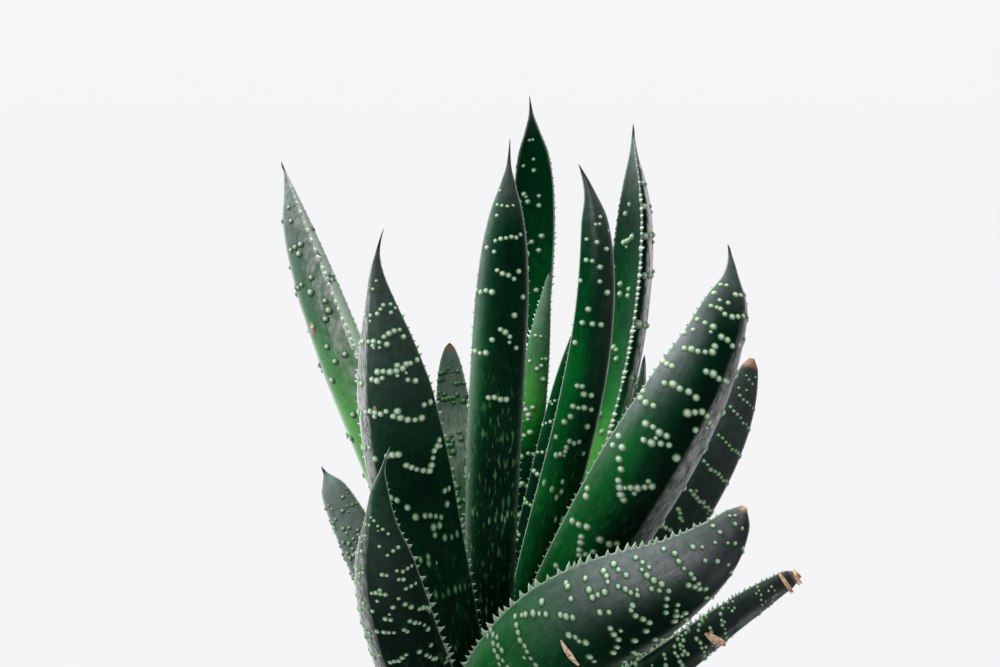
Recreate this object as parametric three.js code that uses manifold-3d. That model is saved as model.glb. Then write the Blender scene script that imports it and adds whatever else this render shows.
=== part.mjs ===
// Potted aloe: a rosette of thick, tubercled leaves on a short crown, in soil, in a plain pot.
// Millimetres, +Z up, +X to the right, +Y away from the front. The pot stands on z = 0.
import * as THREE from "three";
import { mergeVertices } from "three/addons/utils/BufferGeometryUtils.js";
import Module from "manifold-3d";

const wasm = await Module();
wasm.setup();

// Clearance between two pieces that touch
const GAP = 0.3;

// Pot: outer radii, wall and floor, with a plain band round the mouth
const POT = {
  height: 96,
  baseRadius: 38,
  mouthRadius: 50,
  wall: 3.5,
  floor: 5,
  bandHeight: 16,
  bandOut: 2.5,
  drainRadius: 4,
  drainCircle: 20,
  drains: 4,
  sides: 36,
};

// Soil: fills the pot to below its mouth, slightly heaped out to the shoulder's radius
const SOIL = { edge: 86, middle: 89, shoulder: 28, shoulderHeight: 88, sideRoom: 0.6, sides: 24 };

// Crown: the short stem that carries the leaves, with its rootstock in a plain hole
const CROWN = {
  rootBottom: 56,
  rootRadius: 10,
  collar: 89.6,
  profile: [[17, 90], [18, 94], [16.5, 100], [13.5, 107], [10, 114], [6.5, 121], [3.5, 126]],
  top: 129,
  sides: 16,
};

// Leaf widths are given at these distances behind the foot of the tip's awn, then at the base
const WIDTH_STATIONS = [6, 14, 26, 42, 65, 100];
// Cross-sections behind the foot of the awn, and the points across the outer face of each
const RINGS = [0, 3.5, 8, 14, 22, 31, 42, 54, 67, 82, 98, 116, 136, 160];
const ACROSS = [-1, -0.82, -0.3, 0.3, 0.82, 1];
// The first section of a blunt tip, and the stretch before a leaf's base with no section
const BLUNT_START = 0.7;
const LAST_RING_ROOM = 6;
const LAST_STATION_ROOM = 12;
// Share of a leaf's length at its foot without teeth and tubercles, and its least thickness
const FOOT_LEFT_BARE = 0.3;
const THINNEST = 0.6;

const TOOTH = { pitch: 6.5, base: 2.2, height: 2, lean: 0.5, narrowest: 2.6 };
const TUBERCLE = { radius: 1.7, height: 1.3, share: 0.8, rowLength: 9, narrowest: 2.6 };
// Room that a cut leaves round an inner leaf: the clearance, and what flat facets stray by
const CUT_ROOM = GAP + 0.2;
// Sections that a leaf is compared with its neighbours at
const SAMPLES = 24;
// Room that teeth and tubercles keep to other leaves
const NEIGHBOUR_ROOM = 2;
const SEED = 41;

// Leaves from the heart of the rosette outwards; each gives way to the ones before it.
// path: four points that the middle line runs through; widths: see WIDTH_STATIONS;
// facing: compass angle of the outer face at the base and at the tip, from +X towards +Y;
// thick: thickness over width; awn: length of the dry point, 0 for a blunt tip;
// keel: how far the outer face is drawn up to a ridge near the tip, and where across it.
const LEAVES = [
  { name: "leaf_01", path: [[-1, 3, 120], [-2, 8, 150], [-2, 12, 180], [-2, 14, 208]],
    widths: [2.5, 5, 7, 8.5, 9.5, 9.5, 8], facing: [120, 120], thick: 0.42, awn: 2 },
  { name: "leaf_02", path: [[2, 2, 122], [8.6, 9, 164], [13.4, 12, 206], [18.4, 12, 243]],
    widths: [3, 5.4, 8, 9.6, 10.4, 10, 8], facing: [245, 240], thick: 0.42, awn: 1 },
  { name: "leaf_03", path: [[3, 0, 122], [12, 2, 156], [19.6, 4, 190], [24.2, 2, 224]],
    widths: [4.4, 7.4, 10, 11.5, 12, 12, 9], facing: [275, 280], thick: 0.42, awn: 2 },
  { name: "leaf_04", path: [[2, 6, 118], [6, 20, 179], [12.4, 30, 237], [12.2, 30, 297]],
    widths: [4.6, 9.9, 12.8, 13.8, 14, 13, 9], facing: [90, 90], thick: 0.42, awn: 5 },
  { name: "leaf_05", path: [[1, -7, 114], [0.4, -30, 171], [2.8, -38, 226], [5.8, -36, 283]],
    widths: [4.3, 9.2, 13.2, 15.2, 15.5, 15, 11], facing: [262, 268], thick: 0.42, awn: 7,
    keel: 0.3, keelAt: 0 },
  { name: "leaf_06", path: [[6, -4, 114], [17.6, -20, 172], [29, -26, 225], [27, -24, 276]],
    widths: [3.6, 8.2, 10.6, 12, 13, 13, 10], facing: [285, 290], thick: 0.42, awn: 3,
    keel: 0.5, keelAt: 0.4 },
  { name: "leaf_07", path: [[7, 4, 114], [29.4, 18, 181], [40.6, 22, 233], [43.9, 20, 288]],
    widths: [3.5, 8.4, 13.4, 16, 17, 15, 10], facing: [28, 32], thick: 0.55, awn: 4 },
  { name: "leaf_08", path: [[5, 9, 112], [29, 30, 143], [43, 36, 179], [49, 36, 215]],
    widths: [3, 7, 10, 12, 14, 13, 10], facing: [50, 50], thick: 0.42, awn: 2 },
  { name: "leaf_09", path: [[-3, 9, 112], [-5, 26, 147], [-10, 32, 183], [-13, 34, 219]],
    widths: [6.5, 9.5, 12, 13, 14, 13, 10], facing: [100, 100], thick: 0.42, awn: 0, blunt: 2 },
  { name: "leaf_10", path: [[-7, 2, 110], [-20, 6, 164], [-39.8, 8, 220], [-63.2, 10, 276.5]],
    widths: [5.5, 12.5, 18, 22, 24, 22, 16], facing: [175, 178], thick: 0.55, awn: 3 },
  { name: "leaf_11", path: [[-7, -8, 106], [-17.5, -34, 163], [-25.6, -46, 210], [-32.4, -52, 258]],
    widths: [3.8, 8.2, 15.4, 21.8, 24.2, 23.5, 19], facing: [248, 262], thick: 0.42, awn: 6,
    keel: 0.3, keelAt: 0 },
  { name: "leaf_12", path: [[9, -7, 106], [31.5, -28, 168], [58.7, -34, 217], [67.7, -28, 253]],
    widths: [5, 14.2, 20, 25.5, 28.2, 26, 20], facing: [290, 300], thick: 0.42, awn: 3,
    keel: 0.5, keelAt: 0.3 },
  { name: "leaf_13", path: [[1, 11, 104], [2, 34, 138], [3, 48, 166], [3, 56, 196]],
    widths: [3, 8, 13, 17, 20, 19, 15], facing: [88, 88], thick: 0.42, awn: 4 },
  { name: "leaf_14", path: [[-7, 10, 103], [-17, 31, 136], [-25, 44, 166], [-28, 49, 198]],
    widths: [4, 9, 14, 18, 20, 19, 15], facing: [120, 120], thick: 0.42, awn: 3 },
  { name: "leaf_15", path: [[9, 8, 103], [28, 30, 130], [44, 44, 158], [50, 50, 188]],
    widths: [4, 9, 14, 18, 21, 19, 15], facing: [48, 48], thick: 0.42, awn: 3 },
  { name: "leaf_16", path: [[12, 1, 103], [37.6, 10, 141], [62.2, 4, 179], [78, -3, 218]],
    widths: [8, 12, 16, 19, 21, 20, 16], facing: [302, 302], thick: 0.42, awn: 0, blunt: 4 },
  { name: "leaf_17", path: [[1, -13, 100], [16, -41, 141], [43.8, -55, 159.3], [69.2, -58, 183]],
    widths: [12, 18.6, 24.6, 31.5, 35, 35, 26], facing: [290, 305], thick: 0.36, awn: 0, blunt: 5 },
  { name: "leaf_18", path: [[-8, -12, 99], [-19, -48, 132], [-27.4, -66, 166], [-28, -70, 201.5]],
    widths: [4.6, 8.4, 16.2, 20, 21, 21, 18], facing: [252, 262], thick: 0.4, awn: 6,
    keel: 0.2, keelAt: 0 },
  { name: "leaf_19", path: [[-13, -2, 99], [-24.6, -6, 132], [-37.3, -4, 160], [-51, 1, 184.6]],
    widths: [9, 12, 14.5, 17, 18, 17, 15], facing: [222, 238], thick: 0.42, awn: 2 },
  { name: "leaf_20", path: [[13, 7, 98], [38, 20, 118], [56, 28, 142], [63, 30, 166]],
    widths: [5, 10, 15, 18, 19, 18, 16], facing: [25, 25], thick: 0.42, awn: 2 },
  { name: "leaf_21", path: [[-13, 7, 98], [-27, 20, 116], [-33, 29, 141], [-35, 33, 165]],
    widths: [6, 10, 13, 15, 16, 15, 14], facing: [150, 150], thick: 0.42, awn: 0, blunt: 2.5 },
  { name: "leaf_22", path: [[-5, 14, 96], [-18, 42, 114], [-28, 64, 134], [-30, 74, 160]],
    widths: [7, 12, 17, 21, 22, 20, 17], facing: [112, 112], thick: 0.4, awn: 0, blunt: 3 },
  { name: "leaf_23", path: [[6, 14, 96], [18, 42, 114], [28, 66, 136], [32, 78, 160]],
    widths: [5, 11, 17, 21, 22, 20, 17], facing: [66, 66], thick: 0.4, awn: 2 },
  { name: "leaf_24", path: [[13, -6, 97], [32, -20, 114], [63.2, -26, 140], [89.6, -26, 157.3]],
    widths: [6.6, 8.6, 10.3, 12.5, 15.5, 17.5, 15], facing: [300, 300], thick: 0.42, awn: 0, blunt: 5 },
];

// Innermost leaves with the fresher green
const YOUNG_LEAVES = 3;
const COLOURS = {
  leaf: 0x14401f,
  youngLeaf: 0x2f7a36,
  crown: 0x8d8a5c,
  soil: 0x3a2a1e,
  pot: 0xb5623f,
};

// Seeded random numbers from 0 to 1
function randomSource(seed) {
  let state = seed;
  return () => {
    state = (state + 0x6d2b79f5) | 0;
    let value = Math.imul(state ^ (state >>> 15), 1 | state);
    value = (value + Math.imul(value ^ (value >>> 7), 61 | value)) ^ value;
    return ((value ^ (value >>> 14)) >>> 0) / 4294967296;
  };
}

function smooth(value) {
  const x = Math.min(1, Math.max(0, value));
  return x * x * (3 - 2 * x);
}

// Slope at an inner knot of a curve that never overshoots its knots
function knotSlope(before, here, after) {
  const left = (here[1] - before[1]) / (here[0] - before[0]);
  const right = (after[1] - here[1]) / (after[0] - here[0]);
  if (left * right <= 0) return 0;
  const leftWeight = 2 * (after[0] - here[0]) + (here[0] - before[0]);
  const rightWeight = (after[0] - here[0]) + 2 * (here[0] - before[0]);
  return (leftWeight + rightWeight) / (leftWeight / left + rightWeight / right);
}

// Smooth curve through [place, value] knots
function through(knots, place) {
  const last = knots.length - 1;
  let i = 0;
  while (i < last - 1 && place > knots[i + 1][0]) i += 1;
  const span = knots[i + 1][0] - knots[i][0];
  const chord = (knots[i + 1][1] - knots[i][1]) / span;
  const from = i === 0 ? chord : knotSlope(knots[i - 1], knots[i], knots[i + 1]);
  const to = i + 1 === last ? chord : knotSlope(knots[i], knots[i + 1], knots[i + 2]);
  const t = Math.min(1, Math.max(0, (place - knots[i][0]) / span));
  return knots[i][1] * (1 + 2 * t) * (1 - t) ** 2
    + span * from * t * (1 - t) ** 2
    + knots[i + 1][1] * t * t * (3 - 2 * t)
    + span * to * t * t * (t - 1);
}

// Bezier curve that passes through four points, at thirds of its parameter
function middleLine(path) {
  const [p0, a, b, p3] = path.map((point) => new THREE.Vector3(...point));
  const blend = (w0, w1, w2, w3) => new THREE.Vector3()
    .addScaledVector(p0, w0 / 6)
    .addScaledVector(a, w1 / 6)
    .addScaledVector(b, w2 / 6)
    .addScaledVector(p3, w3 / 6);
  return new THREE.CubicBezierCurve3(p0, blend(-5, 18, -9, 2), blend(2, -9, 18, -5), p3);
}

// A leaf's size and direction at any distance from its tip
function leafShape(leaf) {
  const curve = middleLine(leaf.path);
  const length = curve.getLength();
  const knots = leaf.awn > 0 ? [[0, 0.5], [leaf.awn, 0.9]] : [[0, leaf.blunt]];
  WIDTH_STATIONS.forEach((station, i) => {
    if (leaf.awn + station < length - LAST_STATION_ROOM) knots.push([leaf.awn + station, leaf.widths[i]]);
  });
  knots.push([length, leaf.widths[WIDTH_STATIONS.length]]);
  const facing = leaf.facing.map(THREE.MathUtils.degToRad);
  const at = (fromTip) => {
    const along = 1 - fromTip / length;
    const tangent = curve.getTangentAt(along);
    const angle = facing[0] + (facing[1] - facing[0]) * along;
    const out = new THREE.Vector3(Math.cos(angle), Math.sin(angle), 0);
    out.addScaledVector(tangent, -out.dot(tangent)).normalize();
    const width = through(knots, fromTip);
    return {
      middle: curve.getPointAt(along),
      out,
      side: tangent.clone().cross(out),
      halfWidth: width / 2,
      thickness: Math.max(width * leaf.thick, THINNEST),
      keel: (leaf.keel ?? 0) * smooth(1 - fromTip / (0.6 * length)),
      keelAt: leaf.keelAt ?? 0,
    };
  };
  const samples = Array.from({ length: SAMPLES + 1 }, (_, i) => at((i / SAMPLES) * length));
  return { leaf, length, at, samples, reach: 0.7 * (length / SAMPLES) };
}

// Height of the outer face over the flat inner face, from 0 at a margin to 1
function faceHeight(section, across) {
  const round = Math.max(0, 1 - across * across) ** 0.45;
  const reach = across < section.keelAt ? 1 + section.keelAt : 1 - section.keelAt;
  const ridge = 1 - Math.abs(across - section.keelAt) / reach;
  return round * (1 - section.keel) + ridge * section.keel;
}

function sectionPoint(section, across, height) {
  return section.middle.clone()
    .addScaledVector(section.side, section.halfWidth * across)
    .addScaledVector(section.out, height);
}

// Whether a point keeps this much room to a leaf
function clearOfLeaf(shape, point, room) {
  return shape.samples.every((section) => {
    const from = point.clone().sub(section.middle);
    const along = from.dot(section.side.clone().cross(section.out));
    const across = Math.abs(from.dot(section.side));
    const height = from.dot(section.out);
    return Math.abs(along) > shape.reach
      || across > section.halfWidth + room
      || height < -room
      || height > section.thickness + room;
  });
}

// Growing mesh of shared points and triangles
class Shell {
  constructor() {
    this.points = [];
    this.triangles = [];
  }

  add(point) {
    this.points.push(point);
    return this.points.length - 1;
  }

  face(...corners) {
    for (let i = 1; i < corners.length - 1; i += 1) {
      this.triangles.push([corners[0], corners[i], corners[i + 1]]);
    }
  }

  // Fans the strip between a run of points and the two points opposite its ends
  fan(run, first, last, mirrored) {
    const half = Math.floor((run.length - 1) / 2);
    const put = (a, b, c) => (mirrored ? this.face(a, c, b) : this.face(a, b, c));
    for (let i = 0; i < run.length - 1; i += 1) {
      put(run[i], run[i + 1], i < half ? first : last);
      if (i === half) put(run[i], last, first);
    }
  }

  solid() {
    const mesh = new wasm.Mesh({
      numProp: 3,
      vertProperties: new Float32Array(this.points.flatMap((point) => point.toArray())),
      triVerts: new Uint32Array(this.triangles.flat()),
    });
    return new wasm.Manifold(mesh);
  }
}

// Sections of a leaf from its tip to its base, grown on every side by the room given
function leafSections(shape, grow) {
  const { leaf, length } = shape;
  const first = leaf.awn > 0 ? leaf.awn : BLUNT_START;
  const places = RINGS.map((ring) => first + ring).filter((place) => place < length - LAST_RING_ROOM);
  places.push(length);
  return places.map((place) => {
    const section = shape.at(place);
    section.fromTip = place;
    section.halfWidth += grow;
    section.middle.addScaledVector(section.out, -grow);
    section.thickness += 2 * grow;
    return section;
  });
}

// One row of the mesh: the outer face from margin to margin, and the middle of the inner face
function addRing(shell, section) {
  const outer = ACROSS.map((across) => {
    const height = section.thickness * faceHeight(section, across);
    return shell.add(sectionPoint(section, across, height));
  });
  return { section, outer, inner: shell.add(sectionPoint(section, 0, 0)) };
}

// Points of a margin between two rings, with teeth that lean towards the leaf's tip
function toothedMargin(shell, tipRing, baseRing, end, clear, plain) {
  const from = tipRing.outer[end];
  const to = baseRing.outer[end];
  const start = shell.points[from];
  const stretch = shell.points[to].clone().sub(start);
  const run = stretch.length();
  const direction = stretch.clone().normalize();
  const outward = tipRing.section.side.clone().add(baseRing.section.side).normalize();
  if (end === 0) outward.negate();
  const room = Math.min(tipRing.section.halfWidth, baseRing.section.halfWidth) * 2;
  const count = plain || room < TOOTH.narrowest ? 0 : Math.round(run / TOOTH.pitch);
  const points = [from];
  for (let i = 0; i < count; i += 1) {
    const middle = start.clone().addScaledVector(stretch, (i + 0.5) / count);
    const point = middle.clone()
      .addScaledVector(outward, TOOTH.height)
      .addScaledVector(direction, -TOOTH.lean * TOOTH.base);
    if (!clear(point)) continue;
    points.push(shell.add(middle.clone().addScaledVector(direction, -TOOTH.base / 2)));
    points.push(shell.add(point));
    points.push(shell.add(middle.clone().addScaledVector(direction, TOOTH.base / 2)));
  }
  points.push(to);
  return points;
}

// A four-cornered patch of the outer face with one tubercle, or two in a row along the leaf
function raisedPatch(shell, corners, random, clear) {
  const [a, b, c, d] = corners.map((corner) => shell.points[corner]);
  const spot = (u, v) => a.clone().multiplyScalar((1 - u) * (1 - v))
    .addScaledVector(d, u * (1 - v))
    .addScaledVector(c, u * v)
    .addScaledVector(b, (1 - u) * v);
  const wide = (a.distanceTo(d) + b.distanceTo(c)) / 2;
  const long = (a.distanceTo(b) + d.distanceTo(c)) / 2;
  const rows = long > TUBERCLE.rowLength ? 2 : 1;
  const radius = Math.min(TUBERCLE.radius, 0.4 * wide, 0.4 * long / rows);
  const du = radius / wide;
  const dv = radius / long;
  const outward = c.clone().sub(a).cross(d.clone().sub(b)).normalize();
  const places = Array.from({ length: rows }, (_, row) => {
    const u = THREE.MathUtils.lerp(1.15 * du, 1 - 1.15 * du, 0.2 + 0.6 * random());
    const room = 1 / rows - 2.3 * dv;
    return [u, row / rows + 1.15 * dv + room * (0.2 + 0.6 * random())];
  });
  const height = TUBERCLE.height * radius / TUBERCLE.radius;
  const peaks = places.map(([u, v]) => spot(u, v).addScaledVector(outward, height));
  if (!peaks.every(clear)) {
    shell.face(...corners);
    return;
  }
  // Corners of each foot: towards the tip, the far side, the base and the near side
  const feet = places.map(([u, v]) => [
    [u, v - dv], [u + du, v], [u, v + dv], [u - du, v],
  ].map(([x, y]) => shell.add(spot(x, y))));
  feet.forEach((foot, row) => {
    const top = shell.add(peaks[row]);
    foot.forEach((corner, i) => shell.face(foot[(i + 1) % 4], corner, top));
  });
  const [nearTip, nearBase, farBase, farTip] = corners;
  const first = feet[0];
  const last = feet[rows - 1];
  shell.face(farTip, nearTip, first[0]);
  shell.face(nearBase, farBase, last[2]);
  [[nearTip, nearBase, 3, false], [farTip, farBase, 1, true]].forEach(([tip, base, edge, mirrored]) => {
    const put = (...three) => shell.face(...(mirrored ? three.reverse() : three));
    put(tip, first[edge], first[0]);
    put(base, last[2], last[edge]);
    if (rows === 1) {
      put(tip, base, first[edge]);
      return;
    }
    put(tip, last[edge], first[edge]);
    put(tip, base, last[edge]);
    put(first[edge], last[edge], last[0]);
    put(first[edge], last[0], first[2]);
  });
}

// A leaf as one closed solid; without a clear test it stays smooth
function leafSolid(shape, grow = 0, random = null, clear = null) {
  const shell = new Shell();
  const sections = leafSections(shape, grow);
  const rings = sections.map((section) => addRing(shell, section));
  const tip = shell.add(shape.at(0).middle);
  const last = ACROSS.length - 1;
  for (let j = 0; j < last; j += 1) shell.face(tip, rings[0].outer[j], rings[0].outer[j + 1]);
  shell.face(tip, rings[0].outer[last], rings[0].inner);
  shell.face(tip, rings[0].inner, rings[0].outer[0]);
  for (let i = 0; i < rings.length - 1; i += 1) {
    const near = rings[i];
    const far = rings[i + 1];
    const plain = !clear || far.section.fromTip > shape.length * (1 - FOOT_LEFT_BARE);
    const left = toothedMargin(shell, near, far, 0, clear, plain);
    const right = toothedMargin(shell, near, far, last, clear, plain);
    shell.fan(left, near.outer[1], far.outer[1], false);
    shell.fan(right, near.outer[last - 1], far.outer[last - 1], true);
    shell.fan(left, near.inner, far.inner, true);
    shell.fan(right, near.inner, far.inner, false);
    for (let j = 1; j < last - 1; j += 1) {
      const corners = [near.outer[j], far.outer[j], far.outer[j + 1], near.outer[j + 1]];
      const wide = near.section.halfWidth * 2 > TUBERCLE.narrowest;
      if (!plain && wide && random() < TUBERCLE.share) {
        raisedPatch(shell, corners, random, clear);
      } else {
        shell.face(...corners);
      }
    }
  }
  const base = rings[rings.length - 1];
  for (let j = 0; j < last; j += 1) shell.face(base.inner, base.outer[j + 1], base.outer[j]);
  return shell.solid();
}

function geometryFrom(solid) {
  const mesh = solid.getMesh();
  const geometry = new THREE.BufferGeometry();
  geometry.setAttribute("position", new THREE.BufferAttribute(new Float32Array(mesh.vertProperties), 3));
  geometry.setIndex(new THREE.BufferAttribute(new Uint32Array(mesh.triVerts), 1));
  geometry.computeVertexNormals();
  return geometry;
}

function solidFrom(geometry) {
  const bare = geometry.clone();
  bare.deleteAttribute("normal");
  bare.deleteAttribute("uv");
  const merged = mergeVertices(bare, 1e-4);
  return new wasm.Manifold(new wasm.Mesh({
    numProp: 3,
    vertProperties: merged.attributes.position.array,
    triVerts: new Uint32Array(merged.index.array),
  }));
}

// Lathe round the Z axis from [radius, z] points
function turned(profile, sides) {
  const points = profile.map(([radius, z]) => new THREE.Vector2(radius, z));
  const geometry = new THREE.LatheGeometry(points, sides);
  geometry.rotateX(Math.PI / 2);
  return geometry;
}

// Outer radius of the pot's wall at a height
function potRadius(z) {
  return POT.baseRadius + (POT.mouthRadius - POT.baseRadius) * (z / POT.height);
}

function potGeometry() {
  const band = POT.height - POT.bandHeight;
  const profile = [
    [0, 0],
    [potRadius(0) - 1, 0],
    [potRadius(1), 1],
    [potRadius(band), band],
    [potRadius(band) + POT.bandOut, band + 1],
    [potRadius(POT.height) + POT.bandOut, POT.height - 1],
    [potRadius(POT.height) + POT.bandOut - 1, POT.height],
    [potRadius(POT.height) - POT.wall, POT.height],
    [potRadius(POT.floor) - POT.wall, POT.floor],
    [0, POT.floor],
  ];
  let pot = solidFrom(turned(profile, POT.sides));
  for (let i = 0; i < POT.drains; i += 1) {
    const drill = new THREE.CylinderGeometry(POT.drainRadius, POT.drainRadius, 4 * POT.floor, 8);
    drill.rotateX(Math.PI / 2);
    const angle = ((i + 0.5) / POT.drains) * 2 * Math.PI;
    drill.translate(POT.drainCircle * Math.cos(angle), POT.drainCircle * Math.sin(angle), 0);
    pot = pot.subtract(solidFrom(drill));
  }
  return geometryFrom(pot);
}

function soilGeometry() {
  const room = POT.wall + SOIL.sideRoom;
  const bottom = POT.floor + GAP;
  const hole = CROWN.rootRadius + GAP;
  const holeBottom = CROWN.rootBottom - GAP;
  const profile = [
    [0, bottom],
    [potRadius(bottom) - room, bottom],
    [potRadius(SOIL.edge) - room, SOIL.edge],
    [SOIL.shoulder, SOIL.shoulderHeight],
    [hole, SOIL.middle],
    [hole, holeBottom],
    [0, holeBottom],
  ];
  return turned(profile, SOIL.sides);
}

function crownProfile(grow) {
  return [
    [0, CROWN.rootBottom - grow],
    [CROWN.rootRadius + grow, CROWN.rootBottom - grow],
    [CROWN.rootRadius + grow, CROWN.collar - grow],
    ...CROWN.profile.map(([radius, z]) => [radius + grow, z]),
    [0, CROWN.top + grow],
  ];
}

function placed(name, geometry, colour, roughness) {
  const material = new THREE.MeshStandardMaterial({ color: colour, roughness, metalness: 0 });
  const mesh = new THREE.Mesh(geometry, material);
  mesh.name = name;
  return mesh;
}

const plant = new THREE.Group();
plant.add(placed("pot", potGeometry(), COLOURS.pot, 0.8));
plant.add(placed("soil", soilGeometry(), COLOURS.soil, 1));
plant.add(placed("crown", turned(crownProfile(0), CROWN.sides), COLOURS.crown, 0.7));

// Crown and ground, grown by the clearance, that every leaf's foot gives way to
const ground = SOIL.middle + GAP;
const groundProfile = [
  [0, CROWN.rootBottom],
  [POT.height, CROWN.rootBottom],
  [POT.height, ground],
  [0, ground],
];
const keepOut = [
  solidFrom(turned(crownProfile(GAP), CROWN.sides)),
  solidFrom(turned(groundProfile, SOIL.sides)),
];

const shapes = LEAVES.map(leafShape);
shapes.forEach((shape, order) => {
  const random = randomSource(SEED + order);
  const others = shapes.filter((other) => other !== shape);
  const clear = (point) => others.every((other) => clearOfLeaf(other, point, NEIGHBOUR_ROOM));
  let solid = leafSolid(shape, 0, random, clear);
  const innerLeaves = shapes.slice(0, order).map((inner) => leafSolid(inner, CUT_ROOM));
  [...keepOut, ...innerLeaves].forEach((cutter) => {
    solid = solid.subtract(cutter);
  });
  const colour = order < YOUNG_LEAVES ? COLOURS.youngLeaf : COLOURS.leaf;
  plant.add(placed(shape.leaf.name, geometryFrom(solid), colour, 0.5));
});

export default plant;
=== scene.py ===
"""Potted aloe: fine leaves, pot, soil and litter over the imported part, with plain studio light."""

import math
import random

import bpy
import numpy as np
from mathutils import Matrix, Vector


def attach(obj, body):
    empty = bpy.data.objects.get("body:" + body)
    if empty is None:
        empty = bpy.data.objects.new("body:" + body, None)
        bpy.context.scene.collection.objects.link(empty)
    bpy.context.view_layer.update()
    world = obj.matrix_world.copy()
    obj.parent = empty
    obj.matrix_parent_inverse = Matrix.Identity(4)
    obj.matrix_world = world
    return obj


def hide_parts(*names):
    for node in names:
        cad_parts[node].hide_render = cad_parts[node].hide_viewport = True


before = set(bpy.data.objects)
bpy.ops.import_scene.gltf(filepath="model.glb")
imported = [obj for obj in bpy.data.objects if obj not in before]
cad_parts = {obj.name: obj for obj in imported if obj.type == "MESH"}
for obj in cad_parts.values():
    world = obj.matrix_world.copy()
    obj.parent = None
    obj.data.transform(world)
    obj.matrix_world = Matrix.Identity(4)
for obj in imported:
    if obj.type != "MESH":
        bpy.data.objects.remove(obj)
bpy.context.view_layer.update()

MM = 0.001

# The part's own measures, in millimetres
POT = dict(height=96, base_radius=38, mouth_radius=50, wall=3.5, floor=5, band_height=16,
           band_out=2.5, drain_radius=4, drain_circle=20, drains=4)
SOIL = dict(edge=86, middle=89, shoulder=28, shoulder_height=88, side_room=0.6)
CROWN = [(17, 90), (18, 94), (16.5, 100), (13.5, 107), (10, 114), (6.5, 121), (3.5, 126)]
CROWN_TOP = 129
ROOT_BOTTOM = 56
ROOT_RADIUS = 10
COLLAR = 89.6
GAP = 0.3
WIDTH_STATIONS = (6, 14, 26, 42, 65, 100)
LAST_STATION_ROOM = 12
THINNEST = 0.6
HOOK_REACH = 15

# The soil's surface: rings of points, points in each, grains on it and the share of pale ones
SOIL_RINGS = 46
SOIL_SIDES = 150
GRAINS = 1500
PALE_GRAINS = 0.06

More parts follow.
